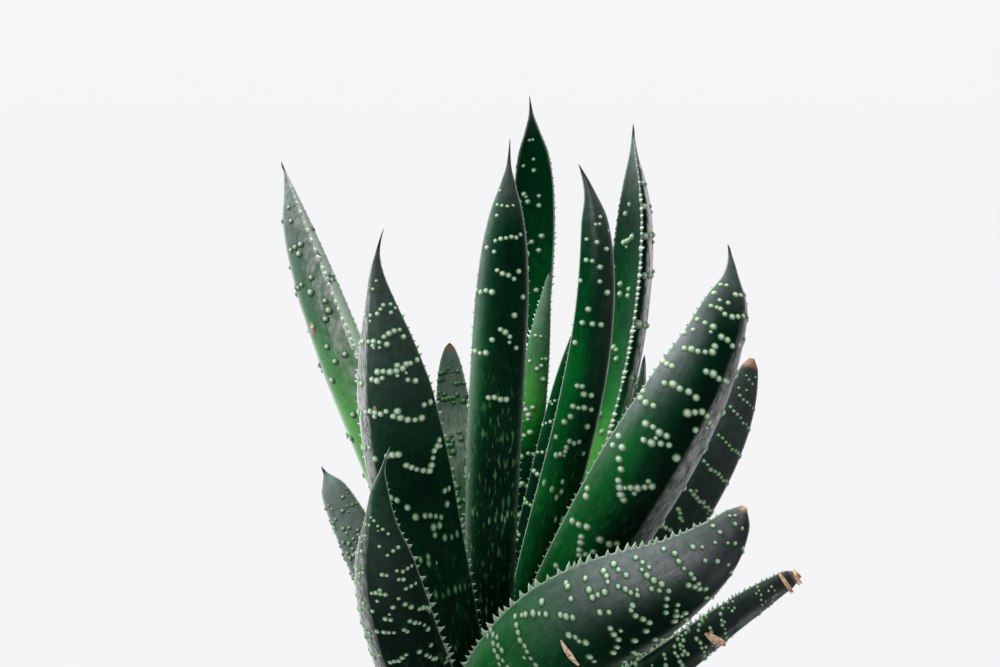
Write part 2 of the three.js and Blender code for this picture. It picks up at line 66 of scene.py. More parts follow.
# The leaves' forms, from the heart of the rosette outwards. path: four points of the middle line
# from base to tip; widths: at WIDTH_STATIONS behind the awn, then at the base; facing: compass
# angle of the outer face at the base and at the tip; thick: thickness as a share of the width;
# awn: length of the thin tip; blunt: width of a tip with no awn; keel: how sharp and how far across.
PLAIN_SHAPE = dict(thick=0.42, awn=2, blunt=0, keel=(0, 0))
LEAVES = dict(
    leaf_01=dict(path=((-1, 3, 120), (-2, 8, 150), (-2, 12, 180), (-2, 14, 208)),
        widths=(2.5, 5, 7, 8.5, 9.5, 9.5, 8), facing=(120, 120)),
    leaf_02=dict(path=((2, 2, 122), (8.6, 9, 164), (13.4, 12, 206), (18.4, 12, 243)),
        widths=(3, 5.4, 8, 9.6, 10.4, 10, 8), facing=(245, 240), awn=1),
    leaf_03=dict(path=((3, 0, 122), (12, 2, 156), (19.6, 4, 190), (24.2, 2, 224)),
        widths=(4.4, 7.4, 10, 11.5, 12, 12, 9), facing=(275, 280)),
    leaf_04=dict(path=((2, 6, 118), (6, 20, 179), (12.4, 30, 237), (12.2, 30, 297)),
        widths=(4.6, 9.9, 12.8, 13.8, 14, 13, 9), facing=(90, 90), awn=5),
    leaf_05=dict(path=((1, -7, 114), (0.4, -30, 171), (2.8, -38, 226), (5.8, -36, 283)),
        widths=(4.3, 9.2, 13.2, 15.2, 15.5, 15, 11), facing=(262, 268), awn=7, keel=(0.3, 0)),
    leaf_06=dict(path=((6, -4, 114), (17.6, -20, 172), (29, -26, 225), (27, -24, 276)),
        widths=(3.6, 8.2, 10.6, 12, 13, 13, 10), facing=(285, 290), awn=3, keel=(0.5, 0.4)),
    leaf_07=dict(path=((7, 4, 114), (29.4, 18, 181), (40.6, 22, 233), (43.9, 20, 288)),
        widths=(3.5, 8.4, 13.4, 16, 17, 15, 10), facing=(28, 32), thick=0.55, awn=4),
    leaf_08=dict(path=((5, 9, 112), (29, 30, 143), (43, 36, 179), (49, 36, 215)),
        widths=(3, 7, 10, 12, 14, 13, 10), facing=(50, 50)),
    leaf_09=dict(path=((-3, 9, 112), (-5, 26, 147), (-10, 32, 183), (-13, 34, 219)),
        widths=(6.5, 9.5, 12, 13, 14, 13, 10), facing=(100, 100), awn=0, blunt=2),
    leaf_10=dict(path=((-7, 2, 110), (-20, 6, 164), (-39.8, 8, 220), (-63.2, 10, 276.5)),
        widths=(5.5, 12.5, 18, 22, 24, 22, 16), facing=(175, 178), thick=0.55, awn=3),
    leaf_11=dict(path=((-7, -8, 106), (-17.5, -34, 163), (-25.6, -46, 210), (-32.4, -52, 258)),
        widths=(3.8, 8.2, 15.4, 21.8, 24.2, 23.5, 19), facing=(248, 262), awn=6, keel=(0.3, 0)),
    leaf_12=dict(path=((9, -7, 106), (31.5, -28, 168), (58.7, -34, 217), (67.7, -28, 253)),
        widths=(5, 14.2, 20, 25.5, 28.2, 26, 20), facing=(290, 300), awn=3, keel=(0.5, 0.3)),
    leaf_13=dict(path=((1, 11, 104), (2, 34, 138), (3, 48, 166), (3, 56, 196)),
        widths=(3, 8, 13, 17, 20, 19, 15), facing=(88, 88), awn=4),
    leaf_14=dict(path=((-7, 10, 103), (-17, 31, 136), (-25, 44, 166), (-28, 49, 198)),
        widths=(4, 9, 14, 18, 20, 19, 15), facing=(120, 120), awn=3),
    leaf_15=dict(path=((9, 8, 103), (28, 30, 130), (44, 44, 158), (50, 50, 188)),
        widths=(4, 9, 14, 18, 21, 19, 15), facing=(48, 48), awn=3),
    leaf_16=dict(path=((12, 1, 103), (37.6, 10, 141), (62.2, 4, 179), (78, -3, 218)),
        widths=(8, 12, 16, 19, 21, 20, 16), facing=(302, 302), awn=0, blunt=4),
    leaf_17=dict(path=((1, -13, 100), (16, -41, 141), (43.8, -55, 159.3), (69.2, -58, 183)),
        widths=(12, 18.6, 24.6, 31.5, 35, 35, 26), facing=(290, 305), thick=0.36, awn=0, blunt=5),
    leaf_18=dict(path=((-8, -12, 99), (-19, -48, 132), (-27.4, -66, 166), (-28, -70, 201.5)),
        widths=(4.6, 8.4, 16.2, 20, 21, 21, 18), facing=(252, 262), thick=0.4, awn=6, keel=(0.2, 0)),
    leaf_19=dict(path=((-13, -2, 99), (-24.6, -6, 132), (-37.3, -4, 160), (-51, 1, 184.6)),
        widths=(9, 12, 14.5, 17, 18, 17, 15), facing=(222, 238)),
    leaf_20=dict(path=((13, 7, 98), (38, 20, 118), (56, 28, 142), (63, 30, 166)),
        widths=(5, 10, 15, 18, 19, 18, 16), facing=(25, 25)),
    leaf_21=dict(path=((-13, 7, 98), (-27, 20, 116), (-33, 29, 141), (-35, 33, 165)),
        widths=(6, 10, 13, 15, 16, 15, 14), facing=(150, 150), awn=0, blunt=2.5),
    leaf_22=dict(path=((-5, 14, 96), (-18, 42, 114), (-28, 64, 134), (-30, 74, 160)),
        widths=(7, 12, 17, 21, 22, 20, 17), facing=(112, 112), thick=0.4, awn=0, blunt=3),
    leaf_23=dict(path=((6, 14, 96), (18, 42, 114), (28, 66, 136), (32, 78, 160)),
        widths=(5, 11, 17, 21, 22, 20, 17), facing=(66, 66), thick=0.4),
    leaf_24=dict(path=((13, -6, 97), (32, -20, 114), (63.2, -26, 140), (89.6, -26, 157.3)),
        widths=(6.6, 8.6, 10.3, 12.5, 15.5, 17.5, 15), facing=(300, 300), awn=0, blunt=5))

# How each leaf is marked, and where light and shade are painted on it, by distance from the tip and place
# across from -1 to 1.
# rows, inner_rows: chains of touching tubercles on the outer and inner face, as turning points whose
#   place across is a percentage; broken cross bands follow beyond the last chain. They were picked
#   on the photo, and a program turned most of them into these measures
# first, pitch: place of the first band, and the distance between bands
# tilt, bow: how much further from the tip a band lies at the +side margin, and at its ends
# fill, inner: share of places taken on the outer and inner face; double: share with a second one
# dot, rise: radius and height of tubercles; white: their paleness; halo: a painted dark green shadow round
# them, lying towards the foot
# fade, streak: how much fainter and longer they grow towards the foot
# fleck: strength of the fine pale flecks, and where they start as a share of the leaf
# tooth, tooth_pitch: height (of both, or of the -side and the +side) and spacing of margin teeth
# chip: how much whiter they are than the rim; rim: paleness of the margins
# glow: the leaf's green at the foot and at the tip, raised by painted glow of light through
#   it and lowered by painted shade; inner_glow: extra painted glow on the inner face
# grey: how far back the tip's grey bloom and painted sheen reach, as a share of the leaf, and their strength
# scars: brown corky spots (distance, place, radius)
# patches: soft spots of painted light and shade (kind, place and reach along the leaf, place and reach
#   across it, strength). Kinds: glow, painted glow, and painted shade where the strength is below
#   0; bloom, bloom and painted sheen on the outer face; back, the same on the inner face; pale, a
#   paler painted sheen on both
# facet: a streaky grey painted sheen, standing for the reflection of bright light, on one side of
#   the outer face (place and reach along the leaf, where it starts across it, how softly, as a minus where
#   it lies on the -side, strength, width)
# matte: a duller skin; awn: how dark the awn is; dry: length of the dead brown tip
# hook: how far the tip bends towards the +side margin
PLAIN_LOOK = dict(
    rows=(), inner_rows=(), first=9, pitch=8.2, tilt=0, bow=-1, fill=0.66, inner=0.12, double=0.3,
    dot=0.85, rise=1, white=1, fade=0.35, streak=0, halo=0, fleck=(0.3, 0.4), tooth=1.1,
    tooth_pitch=2.8, chip=0, rim=0.7, glow=(0.4, 0.15), inner_glow=0.2, grey=(0.25, 0.3), patches=(),
    scars=(), facet=(0.3, 0.2, 2, 0.1, 0, 2), dry=0, hook=0, matte=False, awn=1)
LOOKS = dict(
    leaf_01=dict(dot=0.75, tooth=0.8, glow=(0.9, 0.7)),
    leaf_02=dict(double=0.5, fleck=(0.05, 0.5), tooth=(2.6, 0.9), tooth_pitch=2.4, chip=0.6,
        glow=(-0.1, 0.6), grey=(0.4, 0.5), matte=True, patches=(("glow", 0.32, 0.12, 0, 2, 0.45),),
        rows=((20, -5, 20, 30), (28, -15), (30, 30, 27, 70), (33, 65), (40, -30, 44, 15), (42, 30), (45, 20),
        (51, -20, 50, 30))),
    leaf_03=dict(dot=0.7, fleck=(0.05, 0.5), tooth=0.6, glow=(-0.1, 0.36), inner_glow=0.05, grey=(0.1, 0.1),
        matte=True),
    leaf_04=dict(dot=0.75, streak=0.4, tooth=0.8, tooth_pitch=2.1, glow=(0.5, -0.1), grey=(0.08, 0.2),
        matte=True, patches=(("glow", 0.6, 0.3, 0, 2, 0.15),), inner_rows=((14, 30, 14, 0), (20, 0),
        (22, 60), (23.5, 0), (31, 50, 33, 30), (33.5, 70), (31.5, -25), (34.5, -25), (44, -40), (46, 5),
        (48.5, -30), (58, 20), (61, -30))),
    leaf_05=dict(pitch=8, fill=0.3, dot=0.72, fade=0.75, streak=1.2, fleck=(1.1, 0.34), tooth=0.7,
        tooth_pitch=3.2, rim=0.5, glow=(0.12, 0.1), grey=(0.16, 0.4),
        patches=(("glow", 0.4, 0.35, -0.9, 0.5, 0.4), ("bloom", 0.3, 0.3, -1, 0.3, 0.5),
        ("bloom", 0.5, 0.7, 1, 0.08, 0.4)), rows=((15, -60), (19, -50, 19, 5), (19, 35), (22, -40),
        (29, -30, 27, 60), (31, -60), (32, -30), (32, 95), (36, 90), (37, -15, 39, 35), (37, 50),
        (43, -80, 43, -25), (44, 65), (49, 40), (53, 5, 55, 30), (56, -15), (60, -80, 60, -30), (58, 50),
        (72, -15, 72, 30))),
    leaf_06=dict(fill=0.4, dot=0.73, fade=0.5, streak=0.6, tooth=0.5, glow=(0.25, 0.1), grey=(0.18, 0.25),
        hook=-1.8, matte=True, patches=(("glow", 0.35, 0.4, -0.7, 0.5, 0.3),
        ("bloom", 0.2, 0.2, 0.5, 0.5, 0.1), ("bloom", 0.07, 0.09, -0.35, 0.16, 0.35),
        ("glow", 0.4, 0.4, 0.6, 0.5, -0.1)), facet=(0.38, 0.2, 0.72, 0.15, 0.8, 2), rows=((16, 10), (18, 0),
        (18, -20), (22, -65), (20, 50), (23, -20), (25, 20), (28, -65, 28, -40), (30, -10), (30, 70),
        (34, -85), (34, -10), (37, 20), (42, -45), (46, -60), (46, -25), (46, 5), (52, -75),
        (64, -40, 64, -25), (66, -15), (66, 10), (70, -40, 70, -5), (73, -40), (70, 20), (75, -55), (75, 20),
        (80, -70), (80, -25, 80, 5), (82, -30), (85, -55, 83, -30), (83, 30), (94, -70), (92, -15),
        (95, -40), (97, -20, 95, -10))),
    leaf_07=dict(pitch=9, dot=0.95, rise=1.5, white=0.95, fleck=(0.05, 0.5), tooth=(1.7, 1.2),
        tooth_pitch=2.1, chip=0.7, glow=(0.5, 0), inner_glow=0.12, grey=(0.14, 0.4), matte=True,
        patches=(("glow", 0.65, 0.2, 0, 2, 0.35), ("back", 0.03, 0.1, 0.3, 3, 0.35)),
        facet=(0.2, 0.28, -0.972, 0.05, 2, 0.12), rows=((18, -80, 18, -55), (25, -88, 25, -50),
        (34, -88, 34, -50), (46, -85, 46, -50), (61, -88, 61, -50), (19, -10, 18, 30), (27, -20, 26, 10),
        (26, 30, 27, 70), (35, 0, 34, 50), (45, -25, 46, 20), (46, 40, 47, 80), (60, -10, 61, 40),
        (62, 60, 62, 80)), inner_rows=((25, 20), (28, 45), (37, 35, 35, -20), (50, 30), (51, -30), (53, 25),
        (53, -30), (70, 35, 70, -10), (73, -20), (91, 5), (96, -40))),
    leaf_08=dict(tooth=0.9, glow=(0.5, 0.2)),
    leaf_09=dict(pitch=4.2, inner=0.75, dot=0.95, white=0.55, halo=0.8, glow=(0.3, 0.3), grey=(0.5, 0.5),
        dry=1.6, patches=(("back", 0.25, 0.9, 0, 3, 0.3), ("pale", 0.27, 0.09, 0, 3, 1.1))),
    leaf_10=dict(fill=0.15, dot=0.88, rise=1.5, halo=0.9, tooth=(0.6, 2.3), tooth_pitch=2.5, chip=0.8,
        glow=(0.9, 0.3), grey=(0.3, 0.22), scars=((50.5, 0.42, 1.3),),
        patches=(("bloom", 0.15, 0.25, 0.75, 0.3, 0.12), ("back", 0.25, 0.5, 0, 3, 0.3),
        ("glow", 0.5, 0.3, 0.6, 1, 0.3), ("bloom", 0.5, 0.5, 0, 3, 0.2), ("pale", 0.03, 0.08, 0.6, 0.5, 0.6),
        ("pale", 0.22, 0.16, 0.98, 0.09, 0.7), ("pale", 0.4, 0.15, 0.99, 0.06, 0.4)),
        facet=(0.4, 0.25, 0.5, -0.12, 0.9, 0.25), rows=((14, 65), (18, 65), (26, 45, 26, 75), (28, 65),
        (36, 75), (37, 25, 37, 50), (40, 65), (44, 85), (47, 85, 49, 75), (50, 45), (57, 60), (61, 85),
        (62, 65), (67, 45), (79, 60), (17, -30, 17, 10), (24, -60, 25, -20), (32, -50, 31, 0),
        (40, -70, 41, -35), (40, -10, 39, 5), (50, -60, 51, -10), (60, -70, 59, -40), (61, -20, 62, 10),
        (71, -60, 73, -10), (84, -70, 84, -30), (85, 0, 86, 30), (98, -50, 99, 0))),
    leaf_11=dict(bow=2.5, fill=0.6, dot=0.8, fade=0.85, streak=0.8, fleck=(0.4, 0.5), tooth=1.2,
        glow=(0.17, 0.12), grey=(0.42, 0.28), scars=((48, -0.28, 0.55),), hook=4,
        facet=(0.3, 0.25, -0.58, -0.08, 1.05, 2), rows=((14, 5), (16, -70, 16, -25),
        (23, -70, 23, -5, 21, 25, 21, 60), (23, 50, 22, 75), (30, -40, 30, -5, 28, 25, 28, 60), (31, -25),
        (31, 15), (30, 65), (37, 30), (37, 80), (40, -30, 40, -5), (38, -15, 38, 40, 37, 60),
        (40, 30, 42, 60), (49, -50, 49, -5, 52, 30, 52, 55), (49, 15), (49, 65), (49, 80), (50, -30),
        (59, -50), (62, -40), (61, -15, 61, 5), (64, 15, 66, 30, 67, 50, 62, 65, 60, 80), (74, 70, 74, 80),
        (78, 70), (73, -20, 74, -10), (76, 5), (79, 15, 79, 30, 81, 55), (83, 40, 85, 40), (83, 50),
        (87, 55, 88, 80), (31, -90, 30, -65), (40, -88, 41, -60), (50, -92, 50, -65), (61, -90, 60, -65),
        (72, -90, 73, -60))),
    leaf_12=dict(tilt=-4, fill=0.4, dot=0.94, fade=0.15, tooth=1, glow=(0.25, 0.08), grey=(0.16, 0.35),
        patches=(("glow", 0.5, 0.28, -0.78, 0.45, 0.35), ("bloom", 0.2, 0.11, -0.92, 0.3, 0.6),
        ("bloom", 0.3, 0.15, -1, 0.1, 0.4), ("glow", 0.45, 0.3, 0.1, 0.3, -0.15)),
        facet=(0.36, 0.2, 0.2, 0.12, 1, 2), rows=((13, -75, 13, -50), (15, -10, 15, 10), (16, -80, 18, -55),
        (20, -70), (20, -45, 18, -30), (21, -30), (21, -10, 20, 20), (25, -85, 25, -45), (30, -95, 28, -80),
        (27, -20, 28, 10, 27, 30), (30, -25), (34, -75, 32, -25), (40, -95, 40, -75), (37, -20, 37, 20),
        (37, 30), (45, -70, 44, -45, 44, -15), (50, -95), (52, -90, 52, -65), (49, -15, 47, 5, 49, 40),
        (57, -60, 57, -25), (64, -85), (61, -50, 59, -15), (52, 10), (67, -85, 66, -70), (69, -65),
        (71, -55), (61, 5), (74, -50, 78, -30), (74, -30, 71, -5), (81, -85, 83, -80), (91, -80, 90, -55),
        (93, -55, 98, -45, 95, -30), (91, -30, 91, -15), (90, -5), (25, 65, 26, 90), (35, 60, 34, 85),
        (45, 65, 46, 90), (57, 60, 56, 85), (69, 65, 70, 90), (81, 60, 82, 80), (93, 65, 92, 90),
        (14, 45, 14, 80), (19, 50, 20, 85))),
    leaf_16=dict(pitch=7, tilt=6, fill=0.8, dot=0.65, white=0.8, tooth=0.7, glow=(0.1, 0.05),
        grey=(0.7, 0.2), dry=2, rows=((5, -40), (6, -20), (5, 20), (9, -55), (7, 5), (9, -20),
        (11, -40, 15, 70), (15, -55, 22, 80), (24, -50, 30, 80), (33, -50, 39, 80), (43, -40, 49, 80),
        (50, -40, 53, -20), (58, -60, 57, -30), (60, -55))),
    leaf_17=dict(pitch=7, tilt=5, fill=0.6, double=0.6, dot=0.9, white=0.88, halo=0.7, tooth=2.3,
        tooth_pitch=2.3, glow=(0.45, 0), grey=(0.12, 0.1), dry=0.7,
        patches=(("bloom", 0.26, 0.2, -0.75, 0.4, 0.6), ("bloom", 0.1, 0.1, -0.3, 0.4, 0.2),
        ("pale", 0.2, 0.1, -0.55, 0.22, 0.3), ("glow", 0.6, 0.2, -0.6, 0.5, 0.15),
        ("glow", 0.3, 0.4, 0.4, 0.5, -0.22), ("bloom", 0.12, 0.06, 0.35, 0.3, 0.25),
        ("pale", 0, 0.05, -0.5, 0.6, 0.25)), facet=(0.2, 0.25, 0.62, 0.15, 0.35, 2), rows=((4, -65, 3, -50),
        (5, -30), (5, 5), (9, -75, 9, -50), (12, -40), (10, -15), (9, 5), (17, -60, 15, -50), (17, -25),
        (15, -5), (14, 25), (24, -80), (22, -65, 22, -20), (22, -10), (22, 5), (24, -5, 22, 25),
        (32, -80, 30, -60, 31, -50, 29, -30), (32, -30, 29, -15, 32, 15), (29, 15, 32, 40), (29, 40),
        (38, -80, 36, -60), (41, -75, 41, -60), (39, -50, 36, -30, 38, -20), (39, -15, 38, 5), (37, 15),
        (39, 25), (43, 30), (39, 50), (46, -75), (51, -80, 51, -75), (46, -60), (51, -60),
        (46, -50, 43, -50), (46, -30, 44, -25), (46, -5, 46, 15), (48, 25), (50, 30), (51, 60),
        (55, -50, 53, -40), (56, -25, 54, -5), (56, 15, 56, 25), (58, -75), (63, -75, 58, -60),
        (9, 45, 10, 75), (15, 50, 16, 85), (23, 45, 22, 85), (30, 55, 30, 85), (38, 60, 37, 85),
        (46, 50, 45, 85))),
    leaf_18=dict(pitch=5.5, fill=0.62, dot=0.6, white=0.85, tooth=(0.7, 1.95), chip=-0.3, glow=(-0.25, 0.14),
        grey=(0.5, 0.06), hook=2, awn=0.2, patches=(("pale", 0, 0.03, 0, 3, 0.6),
        ("bloom", 0.24, 0.1, 0.2, 0.6, 0.06)), facet=(0.4, 0.22, -0.46, -0.14, 0.95, 2),
        rows=((19, -35, 23, 40), (21, -40), (26, 5), (27, 60, 28, 25), (33, 80, 33, 40), (33, 5, 33, 15),
        (35, 40, 35, 50), (37, -5), (38, 50, 38, 75), (38, -25, 38, -15), (38, -5, 38, 5), (40, 30),
        (40, -15), (42, 15), (42, 40, 43, 50), (45, 65, 47, 90), (43, -30), (45, -5, 45, 5),
        (47, 40, 50, 65), (52, 70), (49, -30), (49, -15, 49, 5), (49, 25, 50, 30), (57, 65), (57, 40),
        (59, 50, 62, 65), (57, -40), (59, -20, 57, 15), (21, -80, 21, -60), (25, -90, 24, -50),
        (29, -85, 28, -55), (33, -90, 33, -45), (37, -85, 36, -60), (41, -90, 41, -50), (45, -85, 44, -55),
        (49, -90, 50, -50), (54, -85, 53, -55), (58, -90, 59, -60))),
    leaf_19=dict(pitch=4.2, fill=0.8, double=0.6, dot=0.75, rise=1.3, white=0.7, halo=0.9, tooth=0.8,
        glow=(0.35, 0.3), grey=(0.8, 0.35), patches=(("bloom", 0.3, 0.5, 0, 2, 0.25),)),
    leaf_21=dict(dry=2),
    leaf_22=dict(dry=3),
    leaf_24=dict(first=6, pitch=3.6, tilt=5, fill=0.62, dot=0.62, rise=1.2, white=0.8, tooth=1.8,
        tooth_pitch=1.6, glow=(0.1, -0.12), grey=(0.5, 0.12), dry=1.7,
        facet=(0.18, 0.2, -0.1, 0.5, 0.36, 2)))

# Scraps of old leaf that lie on the leaves: carrying leaf, ends as distance from its tip and place
# across it, width, how far its long edges curl up
FLAKES = {
    "flake_long": ("leaf_17", (58.5, -0.26), (60.5, 0.14), 1.6, 0.15),
    "flake_folded": ("leaf_24", (31.5, -0.4), (29, 0.42), 2.5, 1.1),
    "flake_ring": ("leaf_24", (5.4, -0.8), (4.6, 0.6), 1.3, 0.9),
    "flake_end": ("leaf_24", (1.7, -0.7), (1.5, 0.6), 1.5, 0.7),
}
FLAKE_THICK = 0.3

# Camera: the photograph's angle, in metres and degrees
CAMERA_AT = (0.003, -0.5811, 0.2758)
CAMERA_DOWN = 5
CAMERA_LENS = 70

# Distances from the awn's foot to the close rows of a leaf's grid behind it, the spacing of the
# rest, and the points across each face as angles, closer together at the margins
SOFT_ROWS = np.array([0.5, 1.1, 1.8, 2.6, 3.6, 4.8])
ROW_STEP = 1.7
EDGE_ANGLES = np.array([0, 1.4, 3.2, 6])
OUTER_ANGLES = np.radians(np.concatenate(
    [EDGE_ANGLES - 90, np.linspace(-78, 78, 22), 90 - EDGE_ANGLES[::-1]]))
OUTER_STEPS = len(OUTER_ANGLES) - 1
INNER_ANGLES = np.linspace(math.pi / 2, -math.pi / 2, 15)[1:-1]

# Girth of the outer face as a share of a leaf's width; a chain's tubercles stand this many radii
# apart, and two tubercles come no closer than these shares of their radii together
GIRTH_SHARE = 1.3
CHAIN_STEP = 2.15
CHAIN_CROWD = 0.6
CHAIN_EXTRA = 0.08
BAND_CROWD = 0.86
# Tubercles keep this far across a face, and need a girth of this many of their radii
MARKS_SIDE = 0.97
MARKS_ROOM = 2.4
# Tubercles and teeth grow this far behind the awn and up to this share of the leaf
MARKS_START = 3
MARKS_END = 0.94
TEETH_END = 0.93
# Lanes of the noise in the skin: each leaf's streaks start this far from the last leaf's
LEAF_SHIFT = 40

# Rings of a tubercle, from the skirt inwards: share of its radius, share of its height, paleness,
# and how dark a painted shadow it has in its halo
DOME = ((1.9, -0.06, 0, 0), (1.35, 0.03, 0.2, 1), (1, 0.34, 0.5, 0.3), (0.62, 0.78, 0.86, 0))
DOME_SIDES = 9
# How far the outer rings and their painted shadow shift towards the foot under a full halo, as a share of
# the radius
SHADE_DROP = 0.5
SHADE_RINGS = 2
# Reach over which a facet's painted sheen fades at its far side
FACET_FADE = 0.4

# Rings of a tooth, from its root outwards: share of its height, share of its base; the six corners
# of each; whiteness of the rings, the last with the point
TOOTH = ((-0.25, 1.15), (0.08, 0.85), (0.5, 0.42))
TOOTH_CORNERS = ((1, 0), (0.5, 0.87), (-0.5, 0.87), (-1, 0), (-0.5, -0.87), (0.5, -0.87))
TOOTH_WHITE = np.repeat((0.55, 0.8, 1), (6, 6, 7))


def smooth(x):
    x = np.clip(x, 0, 1)
    return x * x * (3 - 2 * x)


def unit(v):
    return v / np.maximum(np.linalg.norm(v, axis=-1, keepdims=True), 1e-12)


def circle(sides):
    """Angles of points evenly round a circle."""
    return np.arange(sides) * 2 * math.pi / sides


def through(knots, places):
    """Smooth curve through (place, value) knots that never overshoots them."""
    xs, ys = np.array(knots, float).T
    h = np.diff(xs)
    d = np.diff(ys) / h
    m = np.zeros(len(xs))
    for i in range(1, len(xs) - 1):
        if d[i - 1] * d[i] > 0:
            left, right = 2 * h[i] + h[i - 1], h[i] + 2 * h[i - 1]
            m[i] = (left + right) / (left / d[i - 1] + right / d[i])
    m[0], m[-1] = d[0], d[-1]
    x = np.clip(places, xs[0], xs[-1])
    i = np.clip(np.searchsorted(xs, x, side="right") - 1, 0, len(h) - 1)
    t = (x - xs[i]) / h[i]
    return (ys[i] * (1 + 2 * t) * (1 - t) ** 2 + h[i] * m[i] * t * (1 - t) ** 2
            + ys[i + 1] * t * t * (3 - 2 * t) + h[i] * m[i + 1] * t * t * (t - 1))


def run_over(points):
    """Distance walked along lines of points, from each line's start."""
    steps = np.linalg.norm(np.diff(points, axis=-2), axis=-1)
    return np.concatenate([0 * steps[..., :1], np.cumsum(steps, axis=-1)], axis=-1)


def sample(table, u, v):
    """Bilinear value of a table of rings at row u and column v, where columns close on themselves."""
    rows, columns = table.shape[:2]
    u = np.clip(u, 0, rows - 1.001)
    i, j = np.floor(u).astype(int), np.floor(v).astype(int)
    a, b = (u - i)[..., None], (v - j)[..., None]
    pick = lambda x, y: table[x, y % columns]
    return ((1 - a) * ((1 - b) * pick(i, j) + b * pick(i, j + 1))
            + a * ((1 - b) * pick(i + 1, j) + b * pick(i + 1, j + 1)))


def ring_faces(count, around, order=(0, 1, 2, 3)):
    """Faces between rings of points that close on themselves."""
    faces = []
    for a in range(0, (count - 1) * around, around):
        for i in range(around):
            j = (i + 1) % around
            face = (a + i, a + j, a + around + j, a + around + i)
            faces.append([face[k] for k in order])
    return faces


def fan(start, around, tip):
    """Triangles from a ring of points to one point."""
    return [[start + i, start + (i + 1) % around, tip] for i in range(around)]


def placed(name, data):
    """A new object in the scene, with this data."""
    thing = bpy.data.objects.new(name, data)
    bpy.context.scene.collection.objects.link(thing)
    return thing


class Piece:
    """Growing mesh with a few values at each point."""

    def __init__(self):
        self.points, self.faces, self.values, self.count = [], [], [], 0

    def add(self, points, faces, **values):
        points = np.asarray(points, float).reshape(-1, 3)
        self.faces.extend([[self.count + k for k in face] for face in faces])
        self.points.append(points)
        self.values.append(values)
        self.count += len(points)

    def build(self, name, material):
        mesh = bpy.data.meshes.new(name)
        mesh.from_pydata((np.concatenate(self.points) * MM).tolist(), [], self.faces)
        mesh.update()
        for key in sorted(set().union(*self.values)):
            column = [np.broadcast_to(np.asarray(values.get(key, 0), np.float32), len(points))
                      for points, values in zip(self.points, self.values)]
            layer = mesh.attributes.new(key, "FLOAT", "POINT")
            layer.data.foreach_set("value", np.concatenate(column))
        mesh.polygons.foreach_set("use_smooth", [True] * len(mesh.polygons))
        mesh.materials.append(material)
        return placed(name, mesh)


